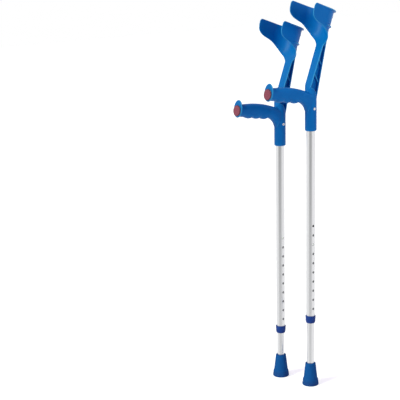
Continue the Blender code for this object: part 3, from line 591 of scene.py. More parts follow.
def cuff_skin():
    """The cuff and its scoop: a U-shaped wall over height up and way round side.

    A row is an arc that meets the floor, then straight arms that splay to the wing's front
    edge. Half width, floor and front edge are smooth functions of up. The outer skin is the
    inner one moved out by the wall, which thickens at the rim, the ridge and the bump.
    """
    up = np.concatenate([np.arange(SCOOP_ROOT_HEIGHT, CUFF_RIM, 0.0007), [CUFF_RIM]])[:, None]
    widen, reach = cuff_shares(up)
    half = NECK_HALF + (CUFF_RADIUS - NECK_HALF) * widen
    floor = -CUFF_BACK * between(up, 0.0, CUFF_BACK_HEIGHT)
    floor = floor - SCOOP_ROOT_DEPTH * (1.0 - way(up, SCOOP_ROOT_HEIGHT, SCOOP_ROOT_TOP))
    over = way(up, CUFF_RIM - WING_TIP_HEIGHT, CUFF_RIM)
    front = reach * WING_REACH - WING_TIP_REACH * (1 - np.sqrt(1 - over**2))
    depth = np.maximum(front - floor, 1e-5)
    shallow = depth < half
    turn = np.where(shallow, 2.0 * np.arctan(depth / half), math.pi / 2)
    radius = np.where(shallow, half / np.sin(turn), half)
    arm = np.where(shallow, 0.0, depth - half)

    side = np.linspace(-1.0, 1.0, 121)
    near = 1.0 - 0.03 * np.linspace(0.0, 1.0, 9)[:-1] ** 2
    side = np.unique(np.concatenate([-near, side, near]))
    length = radius * turn + arm
    run = np.abs(side) * length
    angle = np.minimum(run / radius, turn)
    straight = np.maximum(run - radius * turn, 0.0)
    across = np.sign(side) * (radius * np.sin(angle) + straight * WING_SPLAY)
    forward = floor + radius * (1.0 - np.cos(angle)) + straight
    wall = cuff_wall(up, np.degrees(angle), np.abs(side))
    # The front edge is rounded: half a circle as wide as the wall
    past = np.clip(1.0 - (length - run) / (CUFF_WALL / 2), 0.0, 0.98)
    trim = CUFF_WALL / 2 * (1.0 - np.sqrt(1.0 - past**2))
    faces = [
        cuff_place(across + np.sign(side) * out * np.sin(angle), up, forward - out * np.cos(angle))
        for out in (trim, wall - trim)
    ]
    return skin(np.concatenate([faces[0], faces[1][:, ::-1]], axis=1), "strips")


def cuff_wall(up, turn, share):
    """Wall thickness: even, plus a rim lip, a ridge round the back and a small rear bump.

    turn is the angle round from the rear in degrees, and share runs from 0 at the rear to 1.
    The lip and the ridge start over less than 1 mm, and the bump's sides are straight.
    """
    lip = between(up, CUFF_RIM - RIM_LIP_HEIGHT - 0.0006, CUFF_RIM - RIM_LIP_HEIGHT + 0.0003)
    ridge = way(RIDGE_SIZE / 2 + 0.0004 - np.abs(up - RIDGE_HEIGHT - RIDGE_SIZE / 2), 0.0, 0.0006)
    bump = way(BUMP_SIZE - np.abs(up - BUMP_HEIGHT), 0.0, BUMP_SIZE)
    return (
        CUFF_WALL
        + RIM_LIP * lip * (1.0 - between(share, *LIP_FADE))
        + RIDGE_PROUD * ridge * (1.0 - between(turn, *RIDGE_FADE))
        + BUMP_PROUD * bump * (1.0 - between(turn, *BUMP_FADE))
    )


def grip_lines(forward):
    """Top, middle and bottom heights of the grip at distances forward of the axis.

    The top sags towards the socket by a power of the distance from its crest. The bottom is a
    sweep into the socket, then |sin| waves for the fingers below a rising line, then that line
    to the shield.
    """
    back = np.maximum(CREST_FORWARD - forward, 0.0) / GRIP_SAG_LENGTH
    top = CREST_HEIGHT - GRIP_SAG * back**GRIP_SAG_POWER
    line = FINGER_LINE + (forward - FINGER_FIRST) * math.tan(GRIP_RISE)
    wave = np.abs(np.sin(math.pi * (forward - FINGER_FIRST) / FINGER_PITCH)) ** FINGER_POWER
    wave = np.where((forward > FINGER_FIRST) & (forward < FINGER_LAST), wave, 0.0)
    reach = np.clip((FINGER_FIRST - forward) / (FINGER_FIRST - SOCKET_RADIUS), 0.0, 1.0)
    sweep = FINGER_LINE - SWEEP_DROP * (1.0 - (1.0 - reach**SWEEP_START) ** SWEEP_END)
    bottom = np.where(forward < FINGER_FIRST, sweep, line - FINGER_DEPTH * wave)
    return top, (top + line) / 2, bottom


def grip_skin():
    """The grip: a superellipse |x|^n + |z|^n = 1 carried forward, taller below its middle."""
    forward = np.linspace(-0.003, SHIELD_FORWARD, 160)[:, None]
    top, middle, bottom = grip_lines(forward)
    angle = round_angles(64)
    power = 2.0 / GRIP_SQUARENESS
    across = np.sign(np.cos(angle)) * np.abs(np.cos(angle)) ** power
    level = np.sign(np.sin(angle)) * np.abs(np.sin(angle)) ** power
    root = SOCKET_RADIUS - SUNK
    half = root + (GRIP_HALF - root) * between(forward, 0.0, FINGER_FIRST)
    rise = np.where(level > 0, (top - middle) * level, (middle - bottom) * level)
    lean = math.tan(GRIP_RISE) * way(forward, FINGER_LAST, SHIELD_FORWARD)
    return skin(grid(half * across, rise * lean - forward, middle + rise))


def shield_frame():
    """The grip end's own axes: +Z points out of the grip along its rising axis, +Y is up."""
    out = Vector((0.0, -math.cos(GRIP_RISE), math.sin(GRIP_RISE)))
    up = Vector((0.0, math.sin(GRIP_RISE), math.cos(GRIP_RISE)))
    turn = Matrix((up.cross(out), up, out)).transposed().to_4x4()
    middle = float(grip_lines(np.float64(SHIELD_FORWARD))[1])
    return Matrix.Translation((0.0, -SHIELD_FORWARD, middle)) @ turn


def shield_skin():
    """The oval end plate: an ellipse whose edge is a half circle, with a slightly dished face."""
    half = SHIELD_THICKNESS / 2
    around = round_angles(96)
    edge = np.linspace(-math.pi / 2, math.pi / 2, 9)
    inset = np.concatenate([[0.9, 0.5], np.zeros(9), [0.2, 0.5, 0.9]])[:, None]
    dish = np.array([0.0003, 0.0005, 0.0006])
    level = np.concatenate([[-half, -half], half * np.sin(edge), half - dish])[:, None]
    edge_in = np.concatenate([[half, half], half * (1 - np.cos(edge)), [half, half, half]])[:, None]
    wide = (SHIELD_WIDTH / 2 - edge_in) * (1 - inset)
    tall = (SHIELD_HEIGHT / 2 - edge_in) * (1 - inset)
    points, faces = skin(grid(wide * np.cos(around), tall * np.sin(around) + SHIELD_RAISE, level))
    turn = np.array(shield_frame())
    return points @ turn[:3, :3].T + turn[:3, 3], faces


def handle_mesh():
    """Cuff, stem, grip, shield and socket joined into one moulding, then bored for the tube.

    The rivet's way has a wide seat on each side. Each cutter reaches past the surface that it
    opens.
    """
    skins = [socket_skin(), cuff_skin(), grip_skin(), shield_skin(), *stem_skins()]
    body = joined(mesh_of("handle", *skins))
    bore = mesh_of("bore", turned([(SOCKET_BORE, -0.004), (SOCKET_BORE, SOCKET_DEPTH)]))
    seat = RIVET_HEAD_RADIUS + FIT_GAP
    half = [(RIVET_HOLE_RADIUS, RIVET_SEAT), (seat, RIVET_SEAT), (seat, 0.03)]
    both = [(radius, -height) for radius, height in reversed(half)] + half
    rivet_way = along_x(mesh_of("rivet way", turned(both, 48)), RIVET_HEIGHT)
    hole = [(PLUG_HOLE_RADIUS, -PLUG_HOLE_DEPTH), (PLUG_HOLE_RADIUS, 0.004)]
    plug = mesh_of("plug hole", turned(hole, 48))
    plug.transform(shield_frame())
    handle = cut(body, bore, rivet_way, plug)
    keep(handle, "across", numbers(handle.vertices, "co", 3)[:, 0])
    return handle


def tube_mesh(outer, wall, low, high, holes):
    """A tube: four eased corners carried round Z, with rows near each hole, then drilled."""
    corners = [(outer, low), (outer, high), (outer - wall, high), (outer - wall, low)]
    ring = eased(corners, TUBE_EDGE, 4)
    beside = sorted(height + step for height in holes for step in (-0.005, 0.005))
    beside = [(outer, height) for height in beside if low + 0.002 < height < high - 0.002]
    # A rounded corner is six points, and the outer side's rows come after the first one
    ring = np.vstack([ring[:6], beside, ring[6:]])
    body = mesh_of("tube", turned(ring, 96, "ring"))
    flare = HOLE_RADIUS + HOLE_FLARE
    drill = [(HOLE_RADIUS, 0.004), (HOLE_RADIUS, outer - 0.0003), (flare, outer + 0.0001)]
    drill.append((flare, 0.02))
    return cut(body, *[along_x(mesh_of("drill", turned(drill, 48)), hole) for hole in holes])


def collar_mesh(low, high):
    """The collar: a cup with a rounded foot, an inner ledge for the tube and a thin top edge."""
    guide, seat = LOWER_RADIUS + FIT_GAP, UPPER_RADIUS + FIT_GAP
    ledge = low + COLLAR_LEDGE
    widest, narrow = seat + COLLAR_WALL, guide + COLLAR_FOOT_WALL
    turn = np.linspace(0.0, math.pi / 2, 12)
    swell = narrow + (widest - 0.0005 - narrow) * np.sin(turn)
    foot = np.column_stack([swell, low + COLLAR_FOOT_HEIGHT * (1.0 - np.cos(turn))])
    wall = [(widest, high - 0.0007), (widest - 0.0002, high - 0.0002), (widest - 0.0007, high)]
    inside = [(seat + 0.0004, high), (seat, high - 0.0004), (seat, ledge), (guide, ledge)]
    return mesh_of("collar", turned(np.vstack([foot, wall, inside, [(guide, low)]]), 96, "ring"))


def ferrule_mesh(height):
    """The rubber tip: a cone with a stepped foot, ring grooves in its tread and a flared bore."""
    bore = LOWER_RADIUS + FIT_GAP
    corners = [(1e-5, 0.0)]
    for radius in TREAD_GROOVES:
        corners += [(radius, 0.0), (radius + 0.0006, GROOVE_DEPTH)]
        corners += [(radius + 0.0018, GROOVE_DEPTH), (radius + 0.0024, 0.0)]
    corners += [*FOOT_OUTLINE, (CONE_TOP_RADIUS, height - 0.0006), (0.0128, height)]
    corners += [(bore + 0.0016, height), (bore, height - 0.0022)]
    corners += [(bore, TIP_BORE_FLOOR), (1e-5, TIP_BORE_FLOOR)]
    return mesh_of("ferrule", turned(solid_profile(corners, 0.0006)))


def rivet_mesh():
    """A tubular rivet along X: at each end a rolled head, a half circle swept round the hole."""
    turn = np.linspace(0.0, math.pi, 9)
    under = RIVET_SEAT + FIT_GAP
    radius, height = ROLL_RADIUS + ROLL_HALF * np.cos(turn), ROLL_HEIGHT * np.sin(turn) ** 0.7
    head = np.column_stack([radius, under + height])
    shank, inside = (RIVET_SHANK_RADIUS, under - 0.0001), (RIVET_BORE_RADIUS, under - 0.0004)
    head = np.vstack([shank, head, inside])
    profile = np.vstack([head, head[::-1] * (1, -1)])
    return along_x(mesh_of("rivet", turned(profile, 48, "ring")), RIVET_HEIGHT)


def reflector_mesh():
    """A disc with a faintly domed face, a bevelled edge and the plug that holds it."""
    face = SHIELD_THICKNESS / 2 + FIT_GAP
    top = face + REFLECTOR_THICKNESS
    corners = [(1e-5, face - PLUG_LENGTH), (PLUG_RADIUS, face - PLUG_LENGTH), (PLUG_RADIUS, face)]
    corners += [(REFLECTOR_RADIUS, face), (REFLECTOR_RADIUS, top - 0.0006)]
    corners += [(REFLECTOR_RADIUS - 0.0007, top - 0.0001), (0.008, top), (1e-5, top)]
    mesh = mesh_of("reflector", turned(solid_profile(corners, 0.0002)))
    mesh.transform(shield_frame())
    return mesh


def leaf_mesh():
    """The V-shaped leaf spring: a strip of even thickness along a path (x, z), z = 0 at the button.

    The path runs down beside the button, round a bend and up the far wall. A section is a
    rectangle with cut corners: half the thickness along the path's normal, the width along Y.
    """
    turn = np.linspace(0.0, -math.pi, 17)
    bend = np.column_stack([LEAF_BEND * np.cos(turn), LEAF_BEND * np.sin(turn) + LEAF_BEND_HEIGHT])
    near = [(LEAF_NEAR_X, LEAF_TOP), (LEAF_NEAR_X, LEAF_WAIST)]
    far = [(LEAF_FAR_X, LEAF_WAIST), (LEAF_FAR_X, LEAF_TOP)]
    corners = np.vstack([near, bend, far])
    steps = np.linalg.norm(np.diff(corners, axis=0), axis=1)
    length = np.concatenate([[0.0], np.cumsum(steps)])
    run = np.linspace(0.0, length[-1], 110)
    path = np.column_stack([np.interp(run, length, corners[:, axis]) for axis in (0, 1)])
    along = np.gradient(path, axis=0)
    along /= np.linalg.norm(along, axis=1)[:, None]
    thick, wide = LEAF_THICKNESS / 2, LEAF_WIDTH / 2
    thin, slim = thick - LEAF_CHAMFER, wide - LEAF_CHAMFER
    out = np.array([thick, thick, thin, -thin, -thick, -thick, -thin, thin])
    y = np.array([-slim, slim, wide, wide, slim, -slim, -wide, -wide])
    x, z = path[:, :1] - along[:, 1:] * out, path[:, 1:] + along[:, :1] * out
    return mesh_of("leaf spring", skin(grid(x, y, z)))


def button_mesh():
    """The spring button along X: a flange, a pin and a dome, r = R cos t and h = H + c sin t."""
    turn = np.linspace(0.0, math.pi / 2, 8)[:-1]
    radius, height = BUTTON_RADIUS * np.cos(turn), BUTTON_DOME_START + BUTTON_DOME * np.sin(turn)
    foot = [(BUTTON_FLANGE_RADIUS, BUTTON_SEAT - BUTTON_FLANGE)]
    foot += [(BUTTON_FLANGE_RADIUS, BUTTON_SEAT), (BUTTON_RADIUS, BUTTON_SEAT)]
    return mesh_of("button", turned(np.vstack([foot, np.column_stack([radius, height])]), 48))


# Settings of a Mix node that blends two colours, its inputs 6 and 7, by its input 0
OF_COLOURS = {"out": 2, "data_type": "RGBA"}


def add(tree, kind, values=None, links=None, out=0, **settings):
    """Adds a node, sets its properties and input values, and links other sockets into it.

    It gives back the node's output with the number or name "out", if the node has one.
    """
    node = tree.nodes.new(kind)
    for name, value in settings.items():
        setattr(node, name, value)
    for key, value in (values or {}).items():
        node.inputs[key].default_value = value
    for key, socket in (links or {}).items():
        tree.links.new(socket, node.inputs[key])
    return node.outputs[out] if node.outputs else None


def new_material(name):
    """An empty node material, ready for its nodes."""
    material = bpy.data.materials.new(name)
    material.use_nodes = True
    material.node_tree.nodes.clear()
    return material, material.node_tree


def blue_polypropylene():
    """The handle's moulding: deep blue polypropylene from a spark-eroded mould.

    That gives a satin skin with a fine grain, faint clouds where the melt flowed, edges a
    little shinier, and a thin parting line round the handle's middle plane. The edges also
    carry a painted highlight, a paler blue, and the inner corners a painted shade, a darker blue.
    """
    material, tree = new_material("moulded blue polypropylene")
    place = add(tree, "ShaderNodeTexCoord", out="Object")
    edge = add(tree, "ShaderNodeAttribute", out="Fac", attribute_name="edge")
    middle = add(tree, "ShaderNodeAttribute", out="Fac", attribute_name="across")
    # Flow clouds about 45 mm across
    flow = add(tree, "ShaderNodeTexNoise", {"Scale": 1000 / 45, "Detail": 3.0}, {"Vector": place})
    tones = {6: linear("006EC2"), 7: linear("007ACE")}
    clouds = add(tree, "ShaderNodeMix", tones, {0: flow}, **OF_COLOURS)
    # Painted highlight: edges rounded to less than about 5 mm are paler and shinier, most of all
    # below 2 mm
    painted_light_part = {"From Min": 0.32, "From Max": 0.85, "To Max": 0.9}
    painted_light_mask = add(tree, "ShaderNodeMapRange", painted_light_part, {0: edge})
    with_edge_highlight = add(tree, "ShaderNodeMix", {7: linear("3CA8E4")}, {0: painted_light_mask, 6: clouds}, **OF_COLOURS)
    # Painted shade: inner corners are darker, from a radius of 10 mm down to 2 mm
    shaded = {"From Min": -0.15, "From Max": -0.9, "To Max": 0.5}
    corner = add(tree, "ShaderNodeMapRange", shaded, {0: edge})
    colour = add(tree, "ShaderNodeMix", {7: linear("123E92")}, {0: corner, 6: with_edge_highlight}, **OF_COLOURS)
    gloss = add(tree, "ShaderNodeMapRange", {"To Min": 0.41, "To Max": 0.34}, {0: flow})
    shine = add(tree, "ShaderNodeMath", {1: 0.16}, {0: painted_light_mask}, operation="MULTIPLY")
    rough = add(tree, "ShaderNodeMath", {}, {0: gloss, 1: shine}, operation="SUBTRACT")
    # The mould's grain is about 0.3 mm, drawn at 0.8 mm so that it shows
    grain = add(tree, "ShaderNodeTexNoise", {"Scale": 1000 / 0.8, "Detail": 2.0}, {"Vector": place})
    off = add(tree, "ShaderNodeMath", {}, {0: middle}, operation="ABSOLUTE")
    # The mould's two halves meet in a raised line 0.3 mm wide
    line = {"From Min": 0.00004, "From Max": 0.00018, "To Min": 1.0, "To Max": 0.0}
    seam = add(tree, "ShaderNodeMapRange", line, {0: off})
    height = add(tree, "ShaderNodeMath", {1: 0.9}, {0: seam, 2: grain}, operation="MULTIPLY_ADD")
    bump = add(tree, "ShaderNodeBump", {"Strength": 0.5, "Distance": 0.00006}, {"Height": height})
    made_of = {"Base Color": colour, "Roughness": rough, "Normal": bump}
    shader = add(tree, "ShaderNodeBsdfPrincipled", {"Specular IOR Level": 0.14}, made_of)
    add(tree, "ShaderNodeOutputMaterial", {}, {"Surface": shader})
    return material


def navy_polyamide():
    """The collar's moulding: dark blue polyamide, satin, with fine grain and faint clouds."""
    material, tree = new_material("moulded navy polyamide")
    place = add(tree, "ShaderNodeTexCoord", out="Object")
    # Flow clouds about 8 mm across
    clouds = add(tree, "ShaderNodeTexNoise", {"Scale": 1000 / 8, "Detail": 3.0}, {"Vector": place})
    tones = {6: linear("1A3C8C"), 7: linear("1E4598")}
    colour = add(tree, "ShaderNodeMix", tones, {0: clouds}, **OF_COLOURS)
    rough = add(tree, "ShaderNodeMapRange", {"To Min": 0.50, "To Max": 0.38}, {0: clouds})
    # The mould's grain is about 0.3 mm, drawn at 0.6 mm so that it shows
    grain = add(tree, "ShaderNodeTexNoise", {"Scale": 1000 / 0.6, "Detail": 2.0}, {"Vector": place})
    bump = add(tree, "ShaderNodeBump", {"Strength": 0.5, "Distance": 0.00004}, {"Height": grain})
    made_of = {"Base Color": colour, "Roughness": rough, "Normal": bump}
    shader = add(tree, "ShaderNodeBsdfPrincipled", {"Specular IOR Level": 0.18}, made_of)
    add(tree, "ShaderNodeOutputMaterial", {}, {"Surface": shader})
    return material


def blue_rubber():
    """The tip's moulded rubber: matt blue, finely pitted, darker in patches towards the floor."""
    material, tree = new_material("moulded blue rubber")
    place = add(tree, "ShaderNodeTexCoord", out="Object")
    up = add(tree, "ShaderNodeSeparateXYZ", {}, {0: place}, out="Z")
    # Clouds about 12 mm across
    clouds = add(tree, "ShaderNodeTexNoise", {"Scale": 1000 / 12, "Detail": 5.0}, {"Vector": place})
    tones = {6: linear("06529A"), 7: linear("085AA8")}
    tone_above = add(tree, "ShaderNodeMix", tones, {0: clouds}, **OF_COLOURS)
    # Darker patches reach up to 24 mm above the floor
    darker_low_range = {"From Min": 0.024, "From Max": 0.002, "To Max": 0.75}
    low = add(tree, "ShaderNodeMapRange", darker_low_range, {0: up}, interpolation_type="SMOOTHSTEP")
    patchy = add(
        tree, "ShaderNodeMath", {1: 1.5}, {0: clouds}, operation="MULTIPLY", use_clamp=True
    )
    darker_low_patches = add(tree, "ShaderNodeMath", {}, {0: low, 1: patchy}, operation="MULTIPLY")
    colour = add(tree, "ShaderNodeMix", {7: linear("223F80")}, {0: darker_low_patches, 6: tone_above}, **OF_COLOURS)
    # Pits about 0.2 mm across, drawn at 0.9 mm so that they show
    pits = add(tree, "ShaderNodeTexVoronoi", {"Scale": 1000 / 0.9}, {"Vector": place})
    bump = add(tree, "ShaderNodeBump", {"Strength": 0.4, "Distance": 0.00008}, {"Height": pits})
    matt = {"Specular IOR Level": 0.14, "Roughness": 0.66}
    made_of = {"Base Color": colour, "Normal": bump}
    shader = add(tree, "ShaderNodeBsdfPrincipled", matt, made_of)
    add(tree, "ShaderNodeOutputMaterial", {}, {"Surface": shader})
    return material


def anodised_aluminium(name, outer, axis, hole_shade_start):
    """A tube of extruded aluminium, satin anodised: pale grey with a soft sheen along it.

    Fine lines from the die run up it. Its bore and its holes' walls are a painted shade, dark
    grey. Above the given start height, a darker, duller strip on the button's side is painted
    shade too: seen through the height holes of the outer tube, it makes them look dark.
    """
    material, tree = new_material(name)
    place = add(tree, "ShaderNodeTexCoord", out="Object")
    centre = {"Location": (-axis[0], -axis[1], 0.0)}
    about = add(tree, "ShaderNodeMapping", centre, {"Vector": place})
    # Die lines about 0.5 mm apart and 150 mm long
    drawn_out = {"Scale": (1000 / 0.5, 1000 / 0.5, 1000 / 150)}
    long = add(tree, "ShaderNodeMapping", drawn_out, {"Vector": about})
    lines = add(tree, "ShaderNodeTexNoise", {"Scale": 1.0, "Detail": 3.0}, {"Vector": long})
    tones = {6: linear("EDEEF0"), 7: linear("F8F8FA")}
    bright = add(tree, "ShaderNodeMix", tones, {0: lines}, **OF_COLOURS)
    # The painted shade strip is as wide as a hole, and fades in over 14 mm
    parts = add(tree, "ShaderNodeSeparateXYZ", {}, {0: about}).node.outputs
    beside = add(tree, "ShaderNodeMath", {}, {0: parts["Y"]}, operation="ABSOLUTE")
    width = {"From Min": 0.0022, "From Max": 0.0032, "To Min": 1.0, "To Max": 0.0}
    narrow = add(tree, "ShaderNodeMapRange", width, {0: beside})
    facing = add(tree, "ShaderNodeMath", {1: 0.004}, {0: parts["X"]}, operation="GREATER_THAN")
    fade = {"From Min": hole_shade_start + 0.002, "From Max": hole_shade_start + 0.016, "To Max": 0.8}
    above = add(tree, "ShaderNodeMapRange", fade, {0: parts["Z"]})
    strip = add(tree, "ShaderNodeMath", {}, {0: narrow, 1: facing}, operation="MULTIPLY")
    painted_light_mask = add(tree, "ShaderNodeMath", {}, {0: strip, 1: above}, operation="MULTIPLY")
    # Painted shade: darker where the lower tube shows through the height holes
    painted_light_part = add(tree, "ShaderNodeMix", {7: linear("7C7D82")}, {0: painted_light_mask, 6: bright}, **OF_COLOURS)
    # Painted shade: nearer to the axis than the outer wall, the bore and the holes' walls are dark
    # grey
    flat = add(tree, "ShaderNodeMapping", {"Scale": (1.0, 1.0, 0.0)}, {"Vector": about})
    radius = add(tree, "ShaderNodeVectorMath", {}, {0: flat}, out="Value", operation="LENGTH")
    wall = {"From Min": outer - 0.00015, "From Max": outer - 0.0004}
    inside = add(tree, "ShaderNodeMapRange", wall, {0: radius})
    colour = add(tree, "ShaderNodeMix", {7: linear("2C2C30")}, {0: inside, 6: painted_light_part}, **OF_COLOURS)
    satin = add(tree, "ShaderNodeMapRange", {"To Min": 0.33, "To Max": 0.24}, {0: lines})
    rough = add(tree, "ShaderNodeMath", {1: 0.25}, {0: painted_light_mask, 2: satin}, operation="MULTIPLY_ADD")
    bump = add(tree, "ShaderNodeBump", {"Strength": 0.25, "Distance": 0.00002}, {"Height": lines})
    made_of = {"Base Color": colour, "Roughness": rough, "Normal": bump}
    shader = add(tree, "ShaderNodeBsdfPrincipled", {"Metallic": 1.0}, made_of)
    add(tree, "ShaderNodeOutputMaterial", {}, {"Surface": shader})
    return material


def red_acrylic(axis):
    """The reflector: red acrylic, polished outside, with the prisms moulded in its back.

    The prisms show as a triangular pattern of light and dark red under a smooth clear face,
    and the edge of the disc carries a painted shade, a dark purple-red.
    """
    material, tree = new_material("prismatic red acrylic")
    place = add(tree, "ShaderNodeTexCoord", out="Object")
    middle = shield_frame().to_translation() + axis
    about = add(tree, "ShaderNodeMapping", {"Location": tuple(-middle)}, {"Vector": place})
    # Three sets of ridges 2.6 mm apart, a third of a turn from each other
    turn, nearest = shield_frame().to_3x3(), None
    for ridge in range(3):
        angle = math.radians(120.0 * ridge + 90.0)
        along = turn @ Vector((math.cos(angle), math.sin(angle), 0.0)) * (1000 / 2.6)
        ridge_way = {1: tuple(along)}
        share = add(
            tree, "ShaderNodeVectorMath", ridge_way, {0: about}, out="Value", operation="DOT_PRODUCT"
        )
        ridges = add(tree, "ShaderNodeMath", {1: 1.0}, {0: share}, operation="PINGPONG")
        if nearest:
            ridges = add(tree, "ShaderNodeMath", {}, {0: nearest, 1: ridges}, operation="MINIMUM")
        nearest = ridges
    tones = {6: linear("883048"), 7: linear("B25068")}
    facet = add(tree, "ShaderNodeMix", tones, {0: nearest}, **OF_COLOURS)
    spread = add(tree, "ShaderNodeVectorMath", {}, {0: about}, out="Value", operation="LENGTH")
    # Painted shade: the disc's edge is dark purple-red
    rim = {"From Min": REFLECTOR_RADIUS - 0.0010, "From Max": REFLECTOR_RADIUS - 0.0002}
    border = add(tree, "ShaderNodeMapRange", rim, {0: spread})
    colour = add(tree, "ShaderNodeMix", {7: linear("571F3C")}, {0: border, 6: facet}, **OF_COLOURS)
    bump = add(tree, "ShaderNodeBump", {"Strength": 0.5, "Distance": 0.0006}, {"Height": nearest})
    clear = {"Coat Weight": 0.5, "Coat Roughness": 0.10, "Coat IOR": 1.49}
    clear |= {"Specular IOR Level": 0.2, "Roughness": 0.30}
    made_of = {"Base Color": colour, "Normal": bump}
    shader = add(tree, "ShaderNodeBsdfPrincipled", clear, made_of)
    add(tree, "ShaderNodeOutputMaterial", {}, {"Surface": shader})
    return material


def steel(name, dark, light, roughness, grain_mm):
    """Sheet or turned steel with a plated, polished or blued skin.

    Two close tones and a roughness that both follow a fine grain break up its glints a little,
    so that it doesn't look like a mirror.
    """
    material, tree = new_material(name)
    place = add(tree, "ShaderNodeTexCoord", out="Object")
    size = {"Scale": 1000 / grain_mm, "Detail": 4.0}
    grain = add(tree, "ShaderNodeTexNoise", size, {"Vector": place})
    tones = {6: linear(dark), 7: linear(light)}
    colour = add(tree, "ShaderNodeMix", tones, {0: grain}, **OF_COLOURS)
    spread = {"To Min": roughness + 0.06, "To Max": roughness - 0.06}
    rough = add(tree, "ShaderNodeMapRange", spread, {0: grain})
    bump = add(tree, "ShaderNodeBump", {"Strength": 0.2, "Distance": 0.00002}, {"Height": grain})
    made_of = {"Base Color": colour, "Roughness": rough, "Normal": bump}
    shader = add(tree, "ShaderNodeBsdfPrincipled", {"Metallic": 1.0}, made_of)
    add(tree, "ShaderNodeOutputMaterial", {}, {"Surface": shader})
    return material


def heights(node, zero=0.0):
    """Lowest and highest z of one of the frame's nodes, measured from the height "zero"."""
    low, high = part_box(node)
    return low.z - zero, high.z - zero


def put_on(node, material):
    """Gives one of the frame's nodes a new material in every slot."""
    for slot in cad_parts[node].material_slots:
        slot.material = material


def piece(mesh, side, kind, body, offset, material):
    """A fine piece in place of a frame node: a copy of the mesh, moved to where it stands.

    It rides on one body. Given as (body, body, start, end), it is baked where it stands and rides on
    none; those bodies, start and end are not used.
    """
    mesh = mesh.copy()
    mesh.transform(Matrix.Translation(offset))
    mesh.shade_smooth()
    mesh.set_sharp_from_angle(angle=math.radians(32.0))
    mesh.materials.clear()
    mesh.materials.append(material)
    made = placed(f"{side}_{kind}_fine", mesh)
    if isinstance(body, tuple):
        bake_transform(made)
    else:
        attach(made, body)
    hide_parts(f"{side}_{kind}")


def camera():
    """The photograph's viewpoint, as a camera without shift or depth of field."""
    data = bpy.data.cameras.new("camera")
    data.lens = CAMERA_LENS_MM
    data.sensor_width = SENSOR_MM
    data.sensor_fit = "HORIZONTAL"
    made = placed("camera", data)
    towards = Vector((-math.sin(CAMERA_AZIMUTH), math.cos(CAMERA_AZIMUTH), 0.0))
    across = Vector((math.cos(CAMERA_AZIMUTH), math.sin(CAMERA_AZIMUTH), 0.0))
    level = towards * math.cos(CAMERA_YAW) - across * math.sin(CAMERA_YAW)
    forward = level * math.cos(CAMERA_PITCH) + Vector((0, 0, 1)) * math.sin(CAMERA_PITCH)
    right = forward.cross(Vector((0, 0, 1))).normalized()
    up = right.cross(forward)
    turn = Matrix((right, up, -forward)).transposed().to_4x4()
    place = -towards * CAMERA_DISTANCE + Vector((0, 0, CAMERA_HEIGHT))
    made.matrix_world = Matrix.Translation(place) @ turn @ Matrix.Rotation(CAMERA_ROLL, 4, "Z")
    bpy.context.scene.camera = made


def seen_directly(tree):
    """1 for what the camera sees, also through something clear, and 0 for all other light."""
    path = add(tree, "ShaderNodeLightPath").node.outputs
    rays = {0: path["Is Camera Ray"], 1: path["Is Transmission Ray"]}
    return add(tree, "ShaderNodeMath", {}, rays, operation="MAXIMUM")


def white_floor():
    """A white floor a hair below the feet, which keeps their shadow."""
    mesh = bpy.data.meshes.new("floor")
    ends = (-FLOOR_REACH, FLOOR_REACH)
    corners = [(x, y, FLOOR_HEIGHT) for y in ends for x in ends]
    mesh.from_pydata(corners, [], [(0, 1, 3, 2)])
    floor = placed("floor", mesh)
    floor.visible_glossy = False
    material, tree = new_material("white studio floor")
    lift = add(
        tree, "ShaderNodeMath", {1: FLOOR_LIFT}, {0: seen_directly(tree)}, operation="MULTIPLY"
    )
    plain = add(tree, "ShaderNodeBsdfDiffuse", {"Color": linear("F4F4F4")})
    glow = add(tree, "ShaderNodeEmission", {"Color": (1, 1, 1, 1)}, {"Strength": lift})
    both = add(tree, "ShaderNodeAddShader", {}, {0: plain, 1: glow})
    add(tree, "ShaderNodeOutputMaterial", {}, {"Surface": both})
    mesh.materials.append(material)


